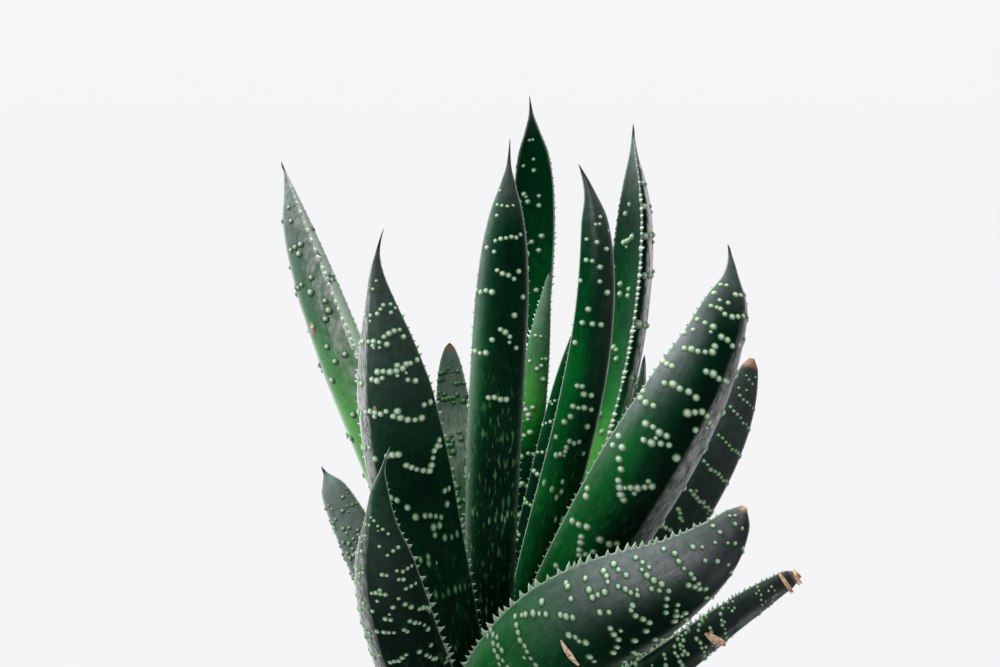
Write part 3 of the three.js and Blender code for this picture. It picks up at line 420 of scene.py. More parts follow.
class Leaf:
    """A leaf's form, its grid of points and its tones, by distance from the tip and place across."""

    def __init__(self, name):
        self.look = dict(PLAIN_LOOK, **LOOKS.get(name, {}))
        self.shape = dict(PLAIN_SHAPE, **LEAVES[name])
        self.awn = self.shape["awn"]
        self.shift = LEAF_SHIFT * list(LEAVES).index(name)
        p0, a, b, p3 = (np.array(p, float) for p in self.shape["path"])
        p1 = (-5 * p0 + 18 * a - 9 * b + 2 * p3) / 6
        p2 = (2 * p0 - 9 * a + 18 * b - 5 * p3) / 6
        t = np.linspace(0, 1, 401)[:, None]
        self.line = ((1 - t) ** 3 * p0 + 3 * (1 - t) ** 2 * t * p1
                     + 3 * (1 - t) * t ** 2 * p2 + t ** 3 * p3)
        self.slope = unit(3 * (1 - t) ** 2 * (p1 - p0) + 6 * (1 - t) * t * (p2 - p1)
                          + 3 * t ** 2 * (p3 - p2))
        self.run = run_over(self.line)
        self.length = self.run[-1]
        awn, widths = self.awn, self.shape["widths"]
        self.knots = [(0, 0.16), (0.5 * awn, 0.55), (awn, 1.15)] if awn else [(0, self.shape["blunt"])]
        for station, width in zip(WIDTH_STATIONS, widths):
            if awn + station < self.length - LAST_STATION_ROOM:
                self.knots.append((awn + station, width))
        self.knots.append((self.length, widths[-1]))
        self.lay_grid()

    def at(self, from_tip):
        """Middle, out and side directions, half width, thickness and keel, one row each."""
        run = self.length - from_tip
        pick = lambda table: np.stack([np.interp(run, self.run, column) for column in table.T], -1)
        tangent = unit(pick(self.slope))
        first, last = np.radians(self.shape["facing"])
        angle = first + (last - first) * run / self.length
        out = np.stack([np.cos(angle), np.sin(angle), 0 * angle], -1)
        out = unit(out - (out * tangent).sum(-1, keepdims=True) * tangent)
        width = through(self.knots, from_tip)
        thickness = np.maximum(width * self.shape["thick"], np.minimum(width, THINNEST))
        keel = self.shape["keel"][0] * smooth(1 - from_tip / (0.6 * self.length))
        side = np.cross(tangent, out)
        bend = self.look["hook"] * np.clip(1 - from_tip / HOOK_REACH, 0, 1) ** 2
        return pick(self.line) + side * bend[..., None], out, side, width / 2, thickness, keel

    def width(self, from_tip):
        return float(through(self.knots, from_tip))

    def lay_grid(self):
        """Closed rings of points from tip to base: outer face from -side to +side, then inner face."""
        first = self.awn or 0.35
        head = np.linspace(0.15 * first, first, 5 if self.awn else 3)
        soft = first + SOFT_ROWS
        count = int((self.length - soft[-1]) / ROW_STEP)
        rows = np.concatenate([head, soft, np.linspace(soft[-1], self.length, count + 1)[1:]])
        middle, out, side, half, thickness, keel = self.at(rows)
        if not self.awn:
            half = half * np.sqrt(smooth(rows / (0.9 * self.shape["blunt"]) + 0.12))
        across, back = np.sin(OUTER_ANGLES), np.sin(INNER_ANGLES)
        keel_at = self.shape["keel"][1]
        tent = np.where(across < keel_at, (across + 1) / (1 + keel_at), (1 - across) / (1 - keel_at))
        rounded_off = np.clip(1 - across ** 2, 0, 1) ** 0.45
        height = rounded_off * (1 - keel[:, None]) + tent * keel[:, None]
        hollow = 0.09 * thickness[:, None] * (1 - back ** 2) * smooth(rows / 12)[:, None]
        lift = np.concatenate([thickness[:, None] * height, hollow], axis=1)
        self.rows, self.half, self.across = rows, half, np.concatenate([across, back])
        self.ring = (middle[:, None] + side[:, None] * (half[:, None] * self.across)[..., None]
                     + out[:, None] * lift[..., None])
        self.ring[..., 2] = np.maximum(self.ring[..., 2], SOIL["middle"] + 0.4)
        self.tip = self.at(0.0)[0]
        # Steps along and around, whose lengths serve to place details in millimetres
        along = np.gradient(self.ring, axis=0)
        around = np.roll(self.ring, -1, axis=1) - np.roll(self.ring, 1, axis=1)
        self.normals = unit(np.cross(along, around))
        self.along, self.around = np.linalg.norm(along, axis=-1), np.linalg.norm(around / 2, axis=-1)

    def margin_distance(self):
        """Distance of each point from the nearer margin, measured over the surface."""
        closed = np.concatenate([self.ring, self.ring[:, :1]], axis=1)
        runs = [run_over(part) for part in (closed[:, :OUTER_STEPS + 1], closed[:, OUTER_STEPS:])]
        outer, inner = (np.minimum(run, run[:, -1:] - run) for run in runs)
        return np.concatenate([outer, inner[:, 1:-1]], axis=1)

    def locate(self, away, place, inner=0):
        """Row, column and steps of a place on a face, which runs from -1 to 1 over its girth."""
        count, around = self.ring.shape[:2]
        low, high = (OUTER_STEPS, around) if inner else (0, OUTER_STEPS)
        u = np.interp(away, self.rows, np.arange(count))
        i = int(round(u))
        run = run_over(self.ring[i, np.arange(low, high + 1) % around])
        turn = -place if inner else place
        v = low + np.interp((0.5 + 0.5 * turn) * run[-1], run, np.arange(len(run)))
        j = int(round(v)) % around
        return (u, v, 1 / max(self.along[i, j], 0.05), 1 / max(self.around[i, j], 0.05)), run[-1]

    def point(self, u, v):
        """Point and outward direction at a row and column of the grid."""
        return sample(self.ring, u, v), unit(sample(self.normals, u, v))

    def tones(self, from_tip, across, inner):
        """Green with painted glow and shade, grey bloom with painted sheen, and dead brown at points of the
        leaf.
        """
        look = self.look
        share = np.clip(from_tip / self.length, 0, 1)
        soft = dict(glow=0, bloom=0, back=0, pale=0)
        for kind, place, reach, x, width, strength in look["patches"]:
            bell = np.exp(-((share - place) / reach) ** 2 - ((across - x) / width) ** 2)
            soft[kind] = soft[kind] + strength * bell
        # The green: raised where light is painted as shining through the leaf, lowered where shade is
        # painted
        foot, tip = look["glow"]
        glow = tip + (foot - tip) * smooth(share / 0.8) + look["inner_glow"] * inner + soft["glow"]
        # Grey bloom: partly the skin's wax, partly painted sheen where bright light would glance off
        grey_reach, grey_strength = look["grey"]
        bloom = grey_strength * (1 - smooth(share / grey_reach))
        bloom = bloom + soft["bloom"] * (1 - inner) + soft["back"] * inner
        # A streaky painted sheen on one side of the outer face, standing for the reflection of bright light
        place, reach, x, softness, strength, width = look["facet"]
        beyond = (across - x) * math.copysign(1, softness)
        side = strength * np.exp(-((share - place) / reach) ** 2) * smooth((across - x) / softness)
        side = side * (1 - smooth((beyond - width) / FACET_FADE))
        fleck_strength, fleck_start = look["fleck"]
        fleck = fleck_strength * smooth((share - fleck_start) / 0.15)
        dead, awn = look["dry"], self.awn
        dry = (1 - smooth((from_tip - 0.9 * dead) / (0.4 + 0.5 * dead))) * (dead > 0)
        dark = (1 - smooth((from_tip - 0.7 * awn) / (0.7 * awn + 0.1))) * (awn > 0) * look["awn"]
        # Pale patches add a paler painted sheen on both faces, together with the side's
        return dict(glow=glow, bloom=bloom, facet=soft["pale"] + side * (1 - inner), fleck=fleck,
                    dry=dry, awn=dark)


def row_spots(leaf, rng, rows):
    """Tubercles in chains: (distance from tip, place across, radius share, how close they crowd)."""
    spots = []
    dot = leaf.look["dot"]
    for row in rows:
        turns = [(away, x / 100) for away, x in zip(row[::2], row[1::2])]
        spots.append((*turns[0], rng.uniform(0.8, 1.1), CHAIN_CROWD))
        for (away, x), (next_away, next_x) in zip(turns, turns[1:]):
            reach = math.hypot(next_away - away, (next_x - x) * 0.5 * GIRTH_SHARE * leaf.width(away))
            count = max(1, round(reach / (CHAIN_STEP * dot)))
            for t in np.arange(1, count + 1) / count:
                place, across = away + (next_away - away) * t, x + (next_x - x) * t
                shift = rng.uniform(-0.4, 0.4)
                spots.append((place + shift, across, rng.uniform(0.75, 1.1), CHAIN_CROWD))
                if rng.random() < CHAIN_EXTRA:
                    shift = rng.choice((-1, 1)) * 2 * dot
                    spots.append((place + shift, across, rng.uniform(0.5, 0.75), BAND_CROWD))
    return spots


def band_spots(leaf, rng, fill, start, stop):
    """Tubercles in broken, wandering cross bands, as row_spots gives them."""
    spots = []
    look = leaf.look
    dot = look["dot"]
    band = start
    while band < stop:
        girth = leaf.width(band) * GIRTH_SHARE
        phase = [rng.uniform(0, 2 * math.pi) for _ in range(3)]
        wander = rng.uniform(0.5, 1.1)
        x = -1 + rng.uniform(0, 0.12)
        on = rng.random() < fill
        while x < 1:
            size = rng.uniform(0.7, 1.05) if rng.random() < 0.85 else rng.uniform(0.45, 0.65)
            step = dot * rng.uniform(1.6, 2.5) / max(girth, 1) * 2
            if rng.random() < 0.28:
                on = rng.random() < fill
            if on:
                wave = math.sin(2.2 * x + phase[0]) + 0.7 * math.sin(5.1 * x + phase[1])
                away = (band + 0.5 * look["tilt"] * x + look["bow"] * (x * x - 0.4)
                        + wander * wave + rng.gauss(0, 0.45) * dot)
                spots.append((away, x, size, BAND_CROWD))
                if rng.random() < look["double"]:
                    away += rng.choice((-1, 1)) * dot * rng.uniform(1.5, 2.4)
                    beside = x + rng.uniform(-0.5, 0.5) * step
                    spots.append((away, beside, size * rng.uniform(0.7, 1), BAND_CROWD))
            x += step
        band += look["pitch"] * (1 + 0.5 * band / leaf.length) * rng.uniform(0.85, 1.15)
    return spots


def dome(piece, leaf, spot, radius, height, pale, stretch, halo, **tones):
    """One tubercle on a leaf. spot is its row and column, and a millimetre along and around."""
    u, v, du, dv = spot
    turn = circle(DOME_SIDES)
    points, paleness, halo_shadows = [], [], []
    for k, (share, rise, white, dark) in enumerate(DOME):
        # The two outer rings carry the painted shadow and shift towards the foot
        drop = SHADE_DROP * halo if k < SHADE_RINGS else 0
        foot, lift = leaf.point(u + du * radius * (stretch * share * np.cos(turn) + drop),
                                v + dv * radius / stretch * share * np.sin(turn))
        points.append(foot + lift * (height * rise))
        paleness += [white * pale] * DOME_SIDES
        halo_shadows += [dark * halo] * DOME_SIDES
    foot, lift = leaf.point(u, v)
    points.append([foot + lift * height])
    rings = len(DOME)
    faces = ring_faces(rings, DOME_SIDES) + fan((rings - 1) * DOME_SIDES, DOME_SIDES, rings * DOME_SIDES)
    piece.add(np.concatenate(points), faces, bump=paleness + [pale], halo=halo_shadows + [0], **tones)


def add_skin(piece, leaf):
    """The leaf's closed skin, from its tip to a flat base."""
    count, around = leaf.ring.shape[:2]
    ends = count * around
    faces = ring_faces(count, around, (0, 3, 2, 1)) + fan(0, around, ends)
    faces.append(list(range(ends - around, ends))[::-1])
    # The last value of each list is the tip's
    from_tip = np.append(np.repeat(leaf.rows, around), 0)
    x = np.append(np.tile(leaf.across, count), 0)
    inner = np.append(np.tile(np.arange(around) > OUTER_STEPS, count), 0)
    half = np.append(np.repeat(leaf.at(leaf.rows)[3], around), 0)
    edge = 1 - smooth((leaf.margin_distance().ravel() - 0.12) / 0.5)
    edge = np.append(edge, 0) * smooth(from_tip / 8) * leaf.look["rim"]
    piece.add(np.concatenate([leaf.ring.reshape(-1, 3), leaf.tip[None]]), faces, bump=0, edge=edge,
              along=from_tip, girth=x * half + leaf.shift, **leaf.tones(from_tip, x, inner))


def add_tubercles(piece, leaf, rng):
    look = leaf.look
    stop = leaf.length * MARKS_END
    taken = np.zeros((0, 4))
    for inner, fill, chains in ((0, look["fill"], look["rows"]), (1, look["inner"], look["inner_rows"])):
        last = max((max(row[::2]) for row in chains), default=0)
        start = last + 0.7 * look["pitch"] if chains else look["first"] + leaf.awn
        spots = row_spots(leaf, rng, chains) + band_spots(leaf, rng, fill, start, stop)
        for away, place, share, crowd in spots:
            if abs(place) > MARKS_SIDE or not leaf.awn + MARKS_START < away < stop:
                continue
            spot, girth = leaf.locate(away, place, inner)
            width = leaf.width(away)
            size = look["dot"] * share * min(1, 0.5 + width / 22)
            size *= 0.65 + 0.35 * smooth((away - leaf.awn) / 45)
            foot = sample(leaf.ring, *spot[:2])
            near = np.linalg.norm(taken[:, :3] - foot, axis=1) < crowd * (taken[:, 3] + size)
            if girth < MARKS_ROOM * size or near.any():
                continue
            taken = np.vstack([taken, [*foot, size]])
            reach = away / leaf.length
            faint = 1 - look["fade"] * smooth((reach - 0.35) / 0.4) * rng.uniform(0.6, 1)
            stretch = 0.94 + look["streak"] * smooth((reach - 0.4) / 0.3)
            height = size * rng.uniform(0.62, 0.82) * look["rise"] * faint
            dome(piece, leaf, spot, size, height, faint * look["white"], stretch, look["halo"],
                 along=away, girth=place * width / 2 + leaf.shift, **leaf.tones(away, place, inner))


def add_scars(piece, leaf):
    for away, place, size in leaf.look["scars"]:
        dome(piece, leaf, leaf.locate(away, place)[0], size, 0.3 * size, 0, 1.2, 0,
             glow=0.1, dry=0.8, along=away, girth=place * 5 + leaf.shift)


def add_teeth(piece, leaf, rng):
    """Flattened thorns along both margins, which lean towards the tip."""
    look = leaf.look
    heights = look["tooth"] if isinstance(look["tooth"], tuple) else (look["tooth"],) * 2
    faces = ring_faces(len(TOOTH), 6) + fan(6 * len(TOOTH) - 6, 6, 6 * len(TOOTH))
    for end, way, height in zip((0, OUTER_STEPS), (-1, 1), heights):
        away = leaf.awn + MARKS_START + rng.uniform(0, 1.5)
        while away < leaf.length * TEETH_END:
            width = leaf.width(away)
            scale = height * min(1, 0.3 + width / 18) * rng.uniform(0.6, 1.15)
            scale *= 0.55 + 0.45 * smooth((away - leaf.awn) / 40)
            u = np.interp(away, leaf.rows, np.arange(len(leaf.rows)))
            root = sample(leaf.ring, u, end)
            forward = unit(sample(leaf.ring, u - 0.5, end) - root)
            outward = leaf.at(away)[2] * way
            thick_way = np.cross(outward, forward)
            lean = rng.uniform(0.35, 0.75)
            points = []
            for rise, wide in TOOTH:
                centre = root + scale * (outward * rise + forward * lean * max(rise, 0) ** 1.5)
                points += [centre + scale * wide * (0.5 * forward * c + 0.3 * thick_way * s)
                           for c, s in TOOTH_CORNERS]
            points.append(root + scale * (outward + forward * lean))
            piece.add(points, faces, edge=TOOTH_WHITE * (1 + look["chip"]), **leaf.tones(away, 1, 0))
            away += look["tooth_pitch"] * min(1, 0.45 + width / 18) * rng.uniform(0.6, 1.35)


def make_leaf(name, rng, materials):
    leaf = Leaf(name)
    piece = Piece()
    add_skin(piece, leaf)
    add_tubercles(piece, leaf, rng)
    add_scars(piece, leaf)
    add_teeth(piece, leaf, rng)
    skin = piece.build(name + "_skin", materials[leaf.look["matte"]])
    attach(skin, "root")
    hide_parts(name)


def make_flake(name, leaf, start, end, width, curl, material):
    """A thin curled scrap that lies on a leaf, pointed at both ends."""
    t, columns = np.linspace(0, 1, 15), np.linspace(-1, 1, 7)
    places = np.array(start) + np.outer(t, np.subtract(end, start))
    spots = [leaf.point(*leaf.locate(away, place)[0][:2]) for away, place in places]
    middle, normal = (np.array(part)[:, None] for part in zip(*spots))
    sideways = unit(np.cross(normal, unit(np.gradient(middle, axis=0))))
    half = 0.5 * width * np.sin(math.pi * (0.06 + 0.88 * t)) ** 0.7
    lift = 0.25 + curl * columns ** 2 + 0.12 * np.outer(np.sin(9 * t), columns)
    under = middle + sideways * np.outer(half, columns)[..., None] + normal * lift[..., None]
    ring = np.concatenate([under, (under + normal * FLAKE_THICK)[:, ::-1]], axis=1)
    count, around = ring.shape[:2]
    ends = count * around
    faces = ring_faces(count, around) + [list(range(around))[::-1], list(range(ends - around, ends))]
    piece = Piece()
    piece.add(ring, faces)
    flake = piece.build(name, material)
    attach(flake, "root")


class Nodes:
    """The node tree of a material or of the surroundings, built in a few words."""

    def __init__(self, owner):
        self.owner = owner
        owner.use_nodes = True
        self.tree = owner.node_tree
        self.tree.nodes.clear()

    def new(self, kind, *inputs, **named):
        """A node, with inputs set or linked in their order or by name."""
        node = self.tree.nodes.new("ShaderNode" + kind)
        pairs = list(zip(node.inputs, inputs))
        pairs += [(node.inputs[name.replace("_", " ")], value) for name, value in named.items()]
        for target, value in pairs:
            self.put(target, value)
        return node

    def put(self, target, value):
        if isinstance(value, bpy.types.NodeSocket):
            self.tree.links.new(value, target)
        elif target.type == "RGBA":
            target.default_value = (*value, 1)
        else:
            target.default_value = value

    def value(self, name):
        node = self.new("Attribute")
        node.attribute_name = name
        return node.outputs["Fac"]

    def join(self, x, y):
        return self.new("CombineXYZ", x, y).outputs[0]

    def noise(self, scale, detail=3, rough=0.5, at=None):
        place = at or self.new("TexCoord").outputs["Object"]
        return self.new("TexNoise", Vector=place, Scale=scale, Detail=detail, Roughness=rough).outputs["Fac"]

    def math(self, operation, *values, clamp=False):
        node = self.new("Math", *values)
        node.operation = operation
        node.use_clamp = clamp
        return node.outputs[0]

    def plus(self, a, b):
        return self.math("ADD", a, b)

    def times(self, a, b, clamp=False):
        return self.math("MULTIPLY", a, b, clamp=clamp)

    def ramp(self, value, stops):
        node = self.new("ValToRGB", value)
        while len(node.color_ramp.elements) < len(stops):
            node.color_ramp.elements.new(0.5)
        for element, (place, colour) in zip(node.color_ramp.elements, stops):
            element.position = place
            element.color = (*colour, 1)
        return node.outputs["Color"]

    def span(self, value, low, high, to_low=0, to_high=1, kind="LINEAR"):
        node = self.new("MapRange", value, low, high, to_low, to_high)
        node.interpolation_type = kind
        return node.outputs["Result"]

    def mix(self, share, a, b):
        node = self.new("Mix")
        node.data_type = "RGBA"
        for place, value in zip((0, 6, 7), (share, a, b)):
            self.put(node.inputs[place], value)
        return node.outputs[2]

    def bump(self, height, distance, strength):
        return self.new("Bump", Height=height, Distance=distance, Strength=strength).outputs["Normal"]

    def surface(self, **inputs):
        """The finished material, a principled shader with these inputs."""
        shader = self.new("BsdfPrincipled", **inputs)
        self.new("OutputMaterial", Surface=shader.outputs["BSDF"])
        return self.owner


def leaf_material(name, gloss):
    m = Nodes(bpy.data.materials.new(name))
    fine, grain = m.noise(420, 4, 0.6), m.noise(1900, 2, 0.7)
    # Streaks and flecks run along the leaf
    girth, along = m.value("girth"), m.value("along")
    leaf_place = m.join(girth, m.times(along, 0.07))
    streaks = m.noise(1.6, 3, 0.6, at=leaf_place)
    flecks = m.noise(1, 1, 0.5, at=m.join(m.times(girth, 1.2), m.times(along, 0.26)))
    # Painted glow and shade set the green: slate where shade is painted, bright yellow-green where light is
    # painted shining through
    glow = m.value("glow")
    for texture, low, high, swing in ((m.noise(55), 0.3, 0.7, 0.08), (fine, 0.35, 0.65, 0.04),
                                      (streaks, 0.3, 0.7, 0.05), (grain, 0.3, 0.7, 0.05)):
        glow = m.plus(glow, m.span(texture, low, high, -swing, swing))
    body = m.ramp(m.span(glow, -0.25, 1), (
        (0, (0.0045, 0.0085, 0.0095)), (0.2, (0.0010, 0.014, 0.0068)), (0.424, (0.0008, 0.042, 0.013)),
        (0.68, (0.003, 0.145, 0.020)), (1, (0.09, 0.40, 0.05))))
    # Grey bloom, partly wax and partly painted sheen, in streaks
    bloom = m.times(m.value("bloom"), m.span(streaks, 0.25, 0.75, 0.86, 1.1))
    bloom = m.times(bloom, m.span(fine, 0.3, 0.7, 0.74, 1.2), clamp=True)
    body = m.mix(bloom, body, (0.24, 0.265, 0.27))
    # Painted sheen on a side of the leaf, grey and in streaks, whiter where it is strongest
    lines = m.span(m.noise(2.6, 2, 0.5, at=leaf_place), 0.36, 0.62, 0.25, 1)
    patchy = m.times(lines, m.span(fine, 0.3, 0.55, 0.45, 1.1))
    sheen_colour = m.mix(m.span(fine, 0.4, 0.62), (0.37, 0.42, 0.365), (0.48, 0.475, 0.485))
    sheen_colour = m.mix(m.span(m.value("facet"), 1, 2), sheen_colour, (0.85, 0.84, 0.86))
    body = m.mix(m.times(m.value("facet"), patchy, clamp=True), body, sheen_colour)
    flecks = m.times(m.value("fleck"), m.span(flecks, 0.58, 0.74), clamp=True)
    body = m.mix(flecks, body, (0.08, 0.22, 0.09))
    bump = m.value("bump")
    pale = m.ramp(bump, ((0, (0.018, 0.11, 0.035)), (0.35, (0.11, 0.25, 0.11)),
                         (0.7, (0.38, 0.50, 0.36)), (1, (0.69, 0.77, 0.63))))
    body = m.mix(m.span(bump, 0.02, 0.35), body, pale)
    # Painted shadow: dark green round each tubercle, lying towards the foot
    body = m.mix(m.value("halo"), body, (0.004, 0.048, 0.016))
    edge = m.value("edge")
    horn = m.ramp(m.times(edge, 0.5), ((0.5, (0.50, 0.64, 0.50)), (0.9, (0.86, 0.90, 0.84))))
    body = m.mix(m.math("MINIMUM", edge, 1), body, horn)
    black = m.ramp(fine, ((0.35, (0.02, 0.017, 0.014)), (0.7, (0.09, 0.075, 0.06))))
    body = m.mix(m.value("awn"), body, black)
    brown = m.ramp(fine, ((0.3, (0.16, 0.08, 0.045)), (0.65, (0.50, 0.31, 0.20))))
    body = m.mix(m.value("dry"), body, brown)
    return m.surface(Base_Color=body, Roughness=m.span(fine, 0.3, 0.7, 0.27, 0.40), IOR=1.45,
                     Specular_IOR_Level=gloss,
                     Normal=m.bump(m.plus(m.times(fine, 0.6), grain), 0.00012, 0.5))


def pot_material():
    m = Nodes(bpy.data.materials.new("pot_clay"))
    fine = m.noise(600, 5, 0.65)
    clay = m.ramp(m.noise(35, 4), ((0.3, (0.42, 0.17, 0.085)), (0.7, (0.52, 0.24, 0.13))))
    clay = m.mix(m.span(fine, 0.55, 0.75, 0, 0.35), clay, (0.70, 0.48, 0.34))
    return m.surface(Base_Color=clay, Roughness=m.span(fine, 0.3, 0.7, 0.72, 0.92),
                     Normal=m.bump(fine, 0.0003, 0.5))


def soil_material():
    m = Nodes(bpy.data.materials.new("potting_soil"))
    grain = m.noise(500, 5, 0.7)
    earth = m.ramp(grain, ((0.3, (0.012, 0.007, 0.004)), (0.55, (0.045, 0.026, 0.015)),
                           (0.75, (0.11, 0.07, 0.045))))
    earth = m.mix(m.value("pale"), earth, (0.55, 0.50, 0.43))
    return m.surface(Base_Color=earth, Roughness=0.95, Normal=m.bump(grain, 0.0006, 0.8))


def flake_material():
    m = Nodes(bpy.data.materials.new("dry_flake"))
    fibre = m.noise(900, 3, 0.6)
    straw = m.ramp(fibre, ((0.32, (0.20, 0.09, 0.04)), (0.44, (0.62, 0.38, 0.22)),
                           (0.52, (0.85, 0.62, 0.43)), (0.7, (0.93, 0.80, 0.66))))
    return m.surface(Base_Color=straw, Roughness=0.8, Normal=m.bump(fibre, 0.0002, 0.6))


def crown_material():
    m = Nodes(bpy.data.materials.new("crown_sheath"))
    lengthways = m.new("Mapping", Vector=m.new("TexCoord").outputs["Object"], Scale=(1, 1, 0.12))
    fibre = m.noise(300, 4, 0.6, at=lengthways.outputs["Vector"])
    bark = m.ramp(fibre, ((0.3, (0.16, 0.13, 0.06)), (0.7, (0.42, 0.36, 0.20))))
    return m.surface(Base_Color=bark, Roughness=0.75, Normal=m.bump(fibre, 0.0004, 0.7))


def floor_material(near, far):
    """Pale floor that fades with its distance in metres, so that no horizon shows."""
    m = Nodes(bpy.data.materials.new("studio_floor"))
    away = m.new("VectorMath", m.new("TexCoord").outputs["Object"])
    away.operation = "LENGTH"
    nearness = m.math("DIVIDE", near, away.outputs["Value"])
    return m.surface(Base_Color=(0.42, 0.42, 0.424), Roughness=0.9, Specular_IOR_Level=0,
                     Alpha=m.span(nearness, near / far, 1))


def turned(piece, profile, sides, **values):
    """Lathe round the Z axis from (radius, z) points, where a radius of 0 is one point."""
    turn = circle(sides)
    counts = [sides if radius else 1 for radius, _ in profile]
    starts = [sum(counts[:k]) for k in range(len(counts))]
    points = [np.stack([radius * np.cos(turn), radius * np.sin(turn), z + 0 * turn], -1)[:count]
              for (radius, z), count in zip(profile, counts)]
    faces = []
    for k in range(len(profile) - 1):
        for i in range(sides):
            corners = ((k, i), (k, i + 1), (k + 1, i + 1), (k + 1, i))
            face = [starts[ring] + place % counts[ring] for ring, place in corners]
            faces.append(list(dict.fromkeys(face)))
    piece.add(np.concatenate(points), faces, **values)


def pot_radius(z):
    return POT["base_radius"] + (POT["mouth_radius"] - POT["base_radius"]) * z / POT["height"]


def rounded(corners, radius, steps=4):
    """Profile with its inner corners rounded."""
    result = [corners[0]]
    for before, here, after in zip(corners, corners[1:], corners[2:]):
        here, before, after = (np.array(p, float) for p in (here, before, after))
        reach = min(radius, 0.45 * np.linalg.norm(before - here), 0.45 * np.linalg.norm(after - here))
        start = here + unit(before - here) * reach
        end = here + unit(after - here) * reach
        for t in np.linspace(0, 1, steps + 1):
            result.append(tuple((1 - t) ** 2 * start + 2 * (1 - t) * t * here + t * t * end))
    return result + [corners[-1]]


def make_pot():
    top, floor, wall, out = (POT[key] for key in ("height", "floor", "wall", "band_out"))
    band = top - POT["band_height"]
    corners = [(0, 0), (pot_radius(0), 0), (pot_radius(band), band), (pot_radius(band) + out, band + 1),
               (pot_radius(top) + out, top), (pot_radius(top) - wall, top),
               (pot_radius(floor) - wall, floor), (0, floor)]
    piece = Piece()
    turned(piece, rounded(corners, 1.2), 128)
    pot = piece.build("pot_body", pot_material())
    for turn in circle(POT["drains"]) + math.pi / POT["drains"]:
        x, y = POT["drain_circle"] * MM * math.cos(turn), POT["drain_circle"] * MM * math.sin(turn)
        bpy.ops.mesh.primitive_cylinder_add(
            radius=POT["drain_radius"] * MM, depth=4 * floor * MM, vertices=32, location=(x, y, 0))
        drill = bpy.context.object
        cut = pot.modifiers.new("drain", "BOOLEAN")
        cut.object = drill
        cut.operation = "DIFFERENCE"
        bpy.context.view_layer.objects.active = pot
        bpy.ops.object.modifier_apply(modifier="drain")
        bpy.data.objects.remove(drill)
    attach(pot, "root")
    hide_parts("pot")


def make_soil():
    rng = random.Random(31)
    edge = pot_radius(SOIL["edge"]) - POT["wall"] - SOIL["side_room"]
    level = lambda radius: np.interp(radius, [0, SOIL["shoulder"], edge],
                                     [SOIL["middle"], SOIL["shoulder_height"], SOIL["edge"]])
    piece = Piece()
    turn = circle(SOIL_SIDES)
    noise = np.random.default_rng(5).random((SOIL_RINGS, SOIL_SIDES))
    for _ in range(2):
        noise = (noise + np.roll(noise, 1, 1) + np.roll(noise, -1, 1)) / 3
    radius = np.linspace(ROOT_RADIUS + GAP, edge, SOIL_RINGS)[:, None]
    z = level(radius) - 0.9 + 1.3 * noise
    z[[0, -1]] -= 0.8
    top = np.stack([radius * np.cos(turn), radius * np.sin(turn), z], -1)
    piece.add(top, ring_faces(SOIL_RINGS, SOIL_SIDES, (0, 3, 2, 1)))
    low = POT["floor"] + GAP
    turned(piece, [(0, low), (pot_radius(low) - POT["wall"] - SOIL["side_room"], low),
                   (edge, SOIL["edge"] - 0.9)], SOIL_SIDES)
    turned(piece, [(ROOT_RADIUS + GAP, SOIL["middle"] - 0.5), (ROOT_RADIUS + GAP, ROOT_BOTTOM - GAP),
                   (0, ROOT_BOTTOM - GAP)], SOIL_SIDES)
    # Grains, bark and a little pumice on top
    for _ in range(GRAINS):
        away = math.sqrt(rng.uniform((ROOT_RADIUS + 3) ** 2, (edge - 2) ** 2))
        angle = rng.uniform(0, 2 * math.pi)
        size = rng.uniform(0.5, 1.5)
        pale = float(rng.random() < PALE_GRAINS)
        centre = (away * math.cos(angle), away * math.sin(angle), level(away) - 0.1)
        add_grain(piece, rng, centre, size, pale)
    soil = piece.build("soil_top", soil_material())
    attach(soil, "root")
    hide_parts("soil")


def add_grain(piece, rng, centre, size, pale):
    """A small angular grain, a stretched and jittered icosahedron."""
    g = (1 + math.sqrt(5)) / 2
    first_four = ((-1, g, 0), (1, g, 0), (-1, -g, 0), (1, -g, 0))
    corners = np.array([np.roll(corner, k) for k in range(3) for corner in first_four])
    faces = [(0, 11, 5), (0, 5, 1), (0, 1, 7), (0, 7, 10), (0, 10, 11), (1, 5, 9), (5, 11, 4),
             (11, 10, 2), (10, 7, 6), (7, 1, 8), (3, 9, 4), (3, 4, 2), (3, 2, 6), (3, 6, 8),
             (3, 8, 9), (4, 9, 5), (2, 4, 11), (6, 2, 10), (8, 6, 7), (9, 8, 1)]
    stretch = [rng.uniform(0.6, 1.3), rng.uniform(0.6, 1.3), rng.uniform(0.4, 0.8)]
    angle = rng.uniform(0, math.pi)
    c, s = math.cos(angle), math.sin(angle)
    points = corners / 1.9 * size * stretch * [[rng.uniform(0.8, 1.15)] for _ in corners]
    piece.add(points @ np.array([[c, s, 0], [-s, c, 0], [0, 0, 1]]) + centre, faces, pale=pale)


def make_crown():
    """The short stem, ribbed with old leaf bases."""
    profile = [(0, ROOT_BOTTOM), (ROOT_RADIUS, ROOT_BOTTOM), (ROOT_RADIUS, COLLAR)]
    steps = 5
    for (r0, z0), (r1, z1) in zip([profile[-1]] + CROWN, CROWN + [(0, CROWN_TOP)]):
        for k in range(1, steps + 1):
            t = k / steps
            ridge = 0 if r1 == 0 and k == steps else -0.35 * (k % 2)
            profile.append((max(r0 + (r1 - r0) * t + ridge, 0), z0 + (z1 - z0) * t))
    piece = Piece()
    turned(piece, profile, 64)
    crown = piece.build("crown_stem", crown_material())
    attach(crown, "root")
    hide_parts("crown")


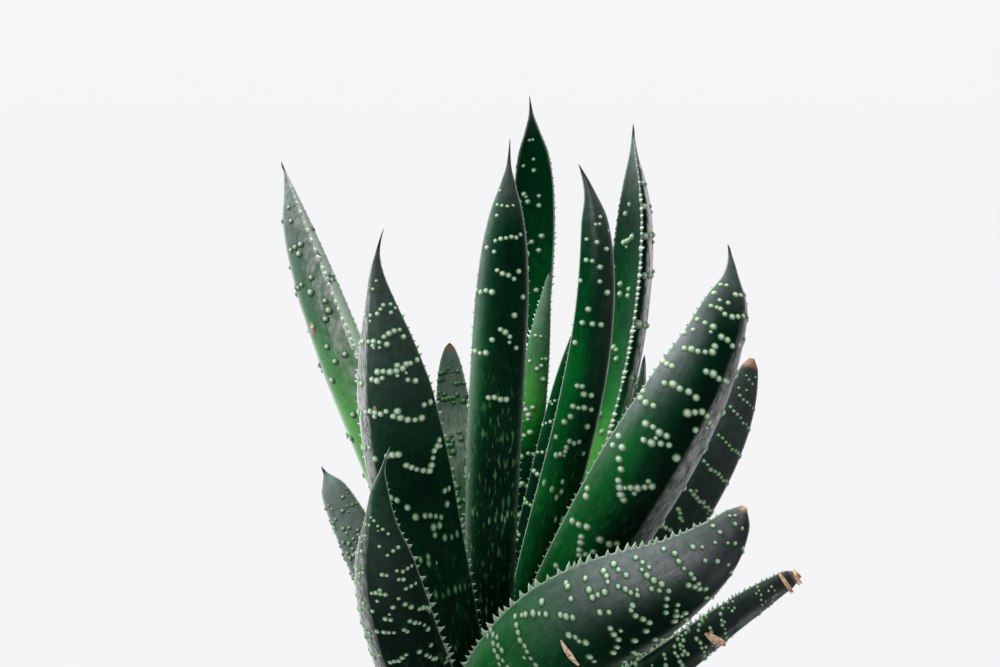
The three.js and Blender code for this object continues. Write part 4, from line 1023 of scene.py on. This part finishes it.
def make_stage():
    """A wide floor, and even soft light from overhead."""
    mesh = bpy.data.meshes.new("floor")
    far = 60
    mesh.from_pydata([(-far, -far, 0), (far, -far, 0), (far, far, 0), (-far, far, 0)], [], [(0, 1, 2, 3)])
    mesh.materials.append(floor_material(near=3, far=30))
    floor = placed("floor", mesh)
    floor.visible_glossy = False
    lamp = placed("overhead", bpy.data.lights.new("overhead", "SUN"))
    lamp.data.angle = math.radians(50)
    lamp.data.energy = 2.4
    lamp.rotation_euler = Vector((0.35, 0.15, -1)).to_track_quat("-Z", "Y").to_euler()


def make_surroundings():
    """Bright behind and above, and dim on the camera's side; the camera sees an even pale tone."""
    world = bpy.data.worlds.new("studio")
    bpy.context.scene.world = world
    m = Nodes(world)
    x, y, z = m.new("SeparateXYZ", m.new("TexCoord").outputs["Generated"]).outputs
    # What the camera sees: as pale as the floor at the horizon, a little paler above it
    seen = m.new("Background", (0.995, 1, 1.02), m.span(z, 0, 0.1, 0.908, 0.93))
    # Brightness by direction: a weighted sum of x, y and z through a soft step
    total = 0
    for value, weight in ((x, -0.45), (y, 0.8), (z, 0.6)):
        total = m.math("MULTIPLY_ADD", value, weight, total)
    light = m.new("Background", (1, 1, 1.02), m.span(total, -0.15, 0.75, 0.02, 2.4, "SMOOTHSTEP"))
    camera_sees = m.new("LightPath").outputs["Is Camera Ray"]
    both = m.new("MixShader", camera_sees, light.outputs[0], seen.outputs[0])
    m.new("OutputWorld", Surface=both.outputs[0])


def make_camera():
    camera = placed("camera", bpy.data.cameras.new("camera"))
    camera.location = CAMERA_AT
    camera.rotation_euler = (math.radians(90 - CAMERA_DOWN), 0, 0)
    camera.data.lens = CAMERA_LENS
    camera.data.sensor_width = 36
    camera.data.clip_start = 0.01
    bpy.context.scene.camera = camera


skins = {False: leaf_material("aloe_leaf", 0.1), True: leaf_material("aloe_leaf_matte", 0.02)}
for seed, name in enumerate(LEAVES, start=700):
    make_leaf(name, random.Random(seed), skins)
scrap = flake_material()
for name, (leaf, start, end, width, curl) in FLAKES.items():
    make_flake(name, Leaf(leaf), start, end, width, curl, scrap)
make_crown()
make_soil()
make_pot()
make_stage()
make_surroundings()
make_camera()
bpy.context.scene.view_settings.view_transform = "Standard"
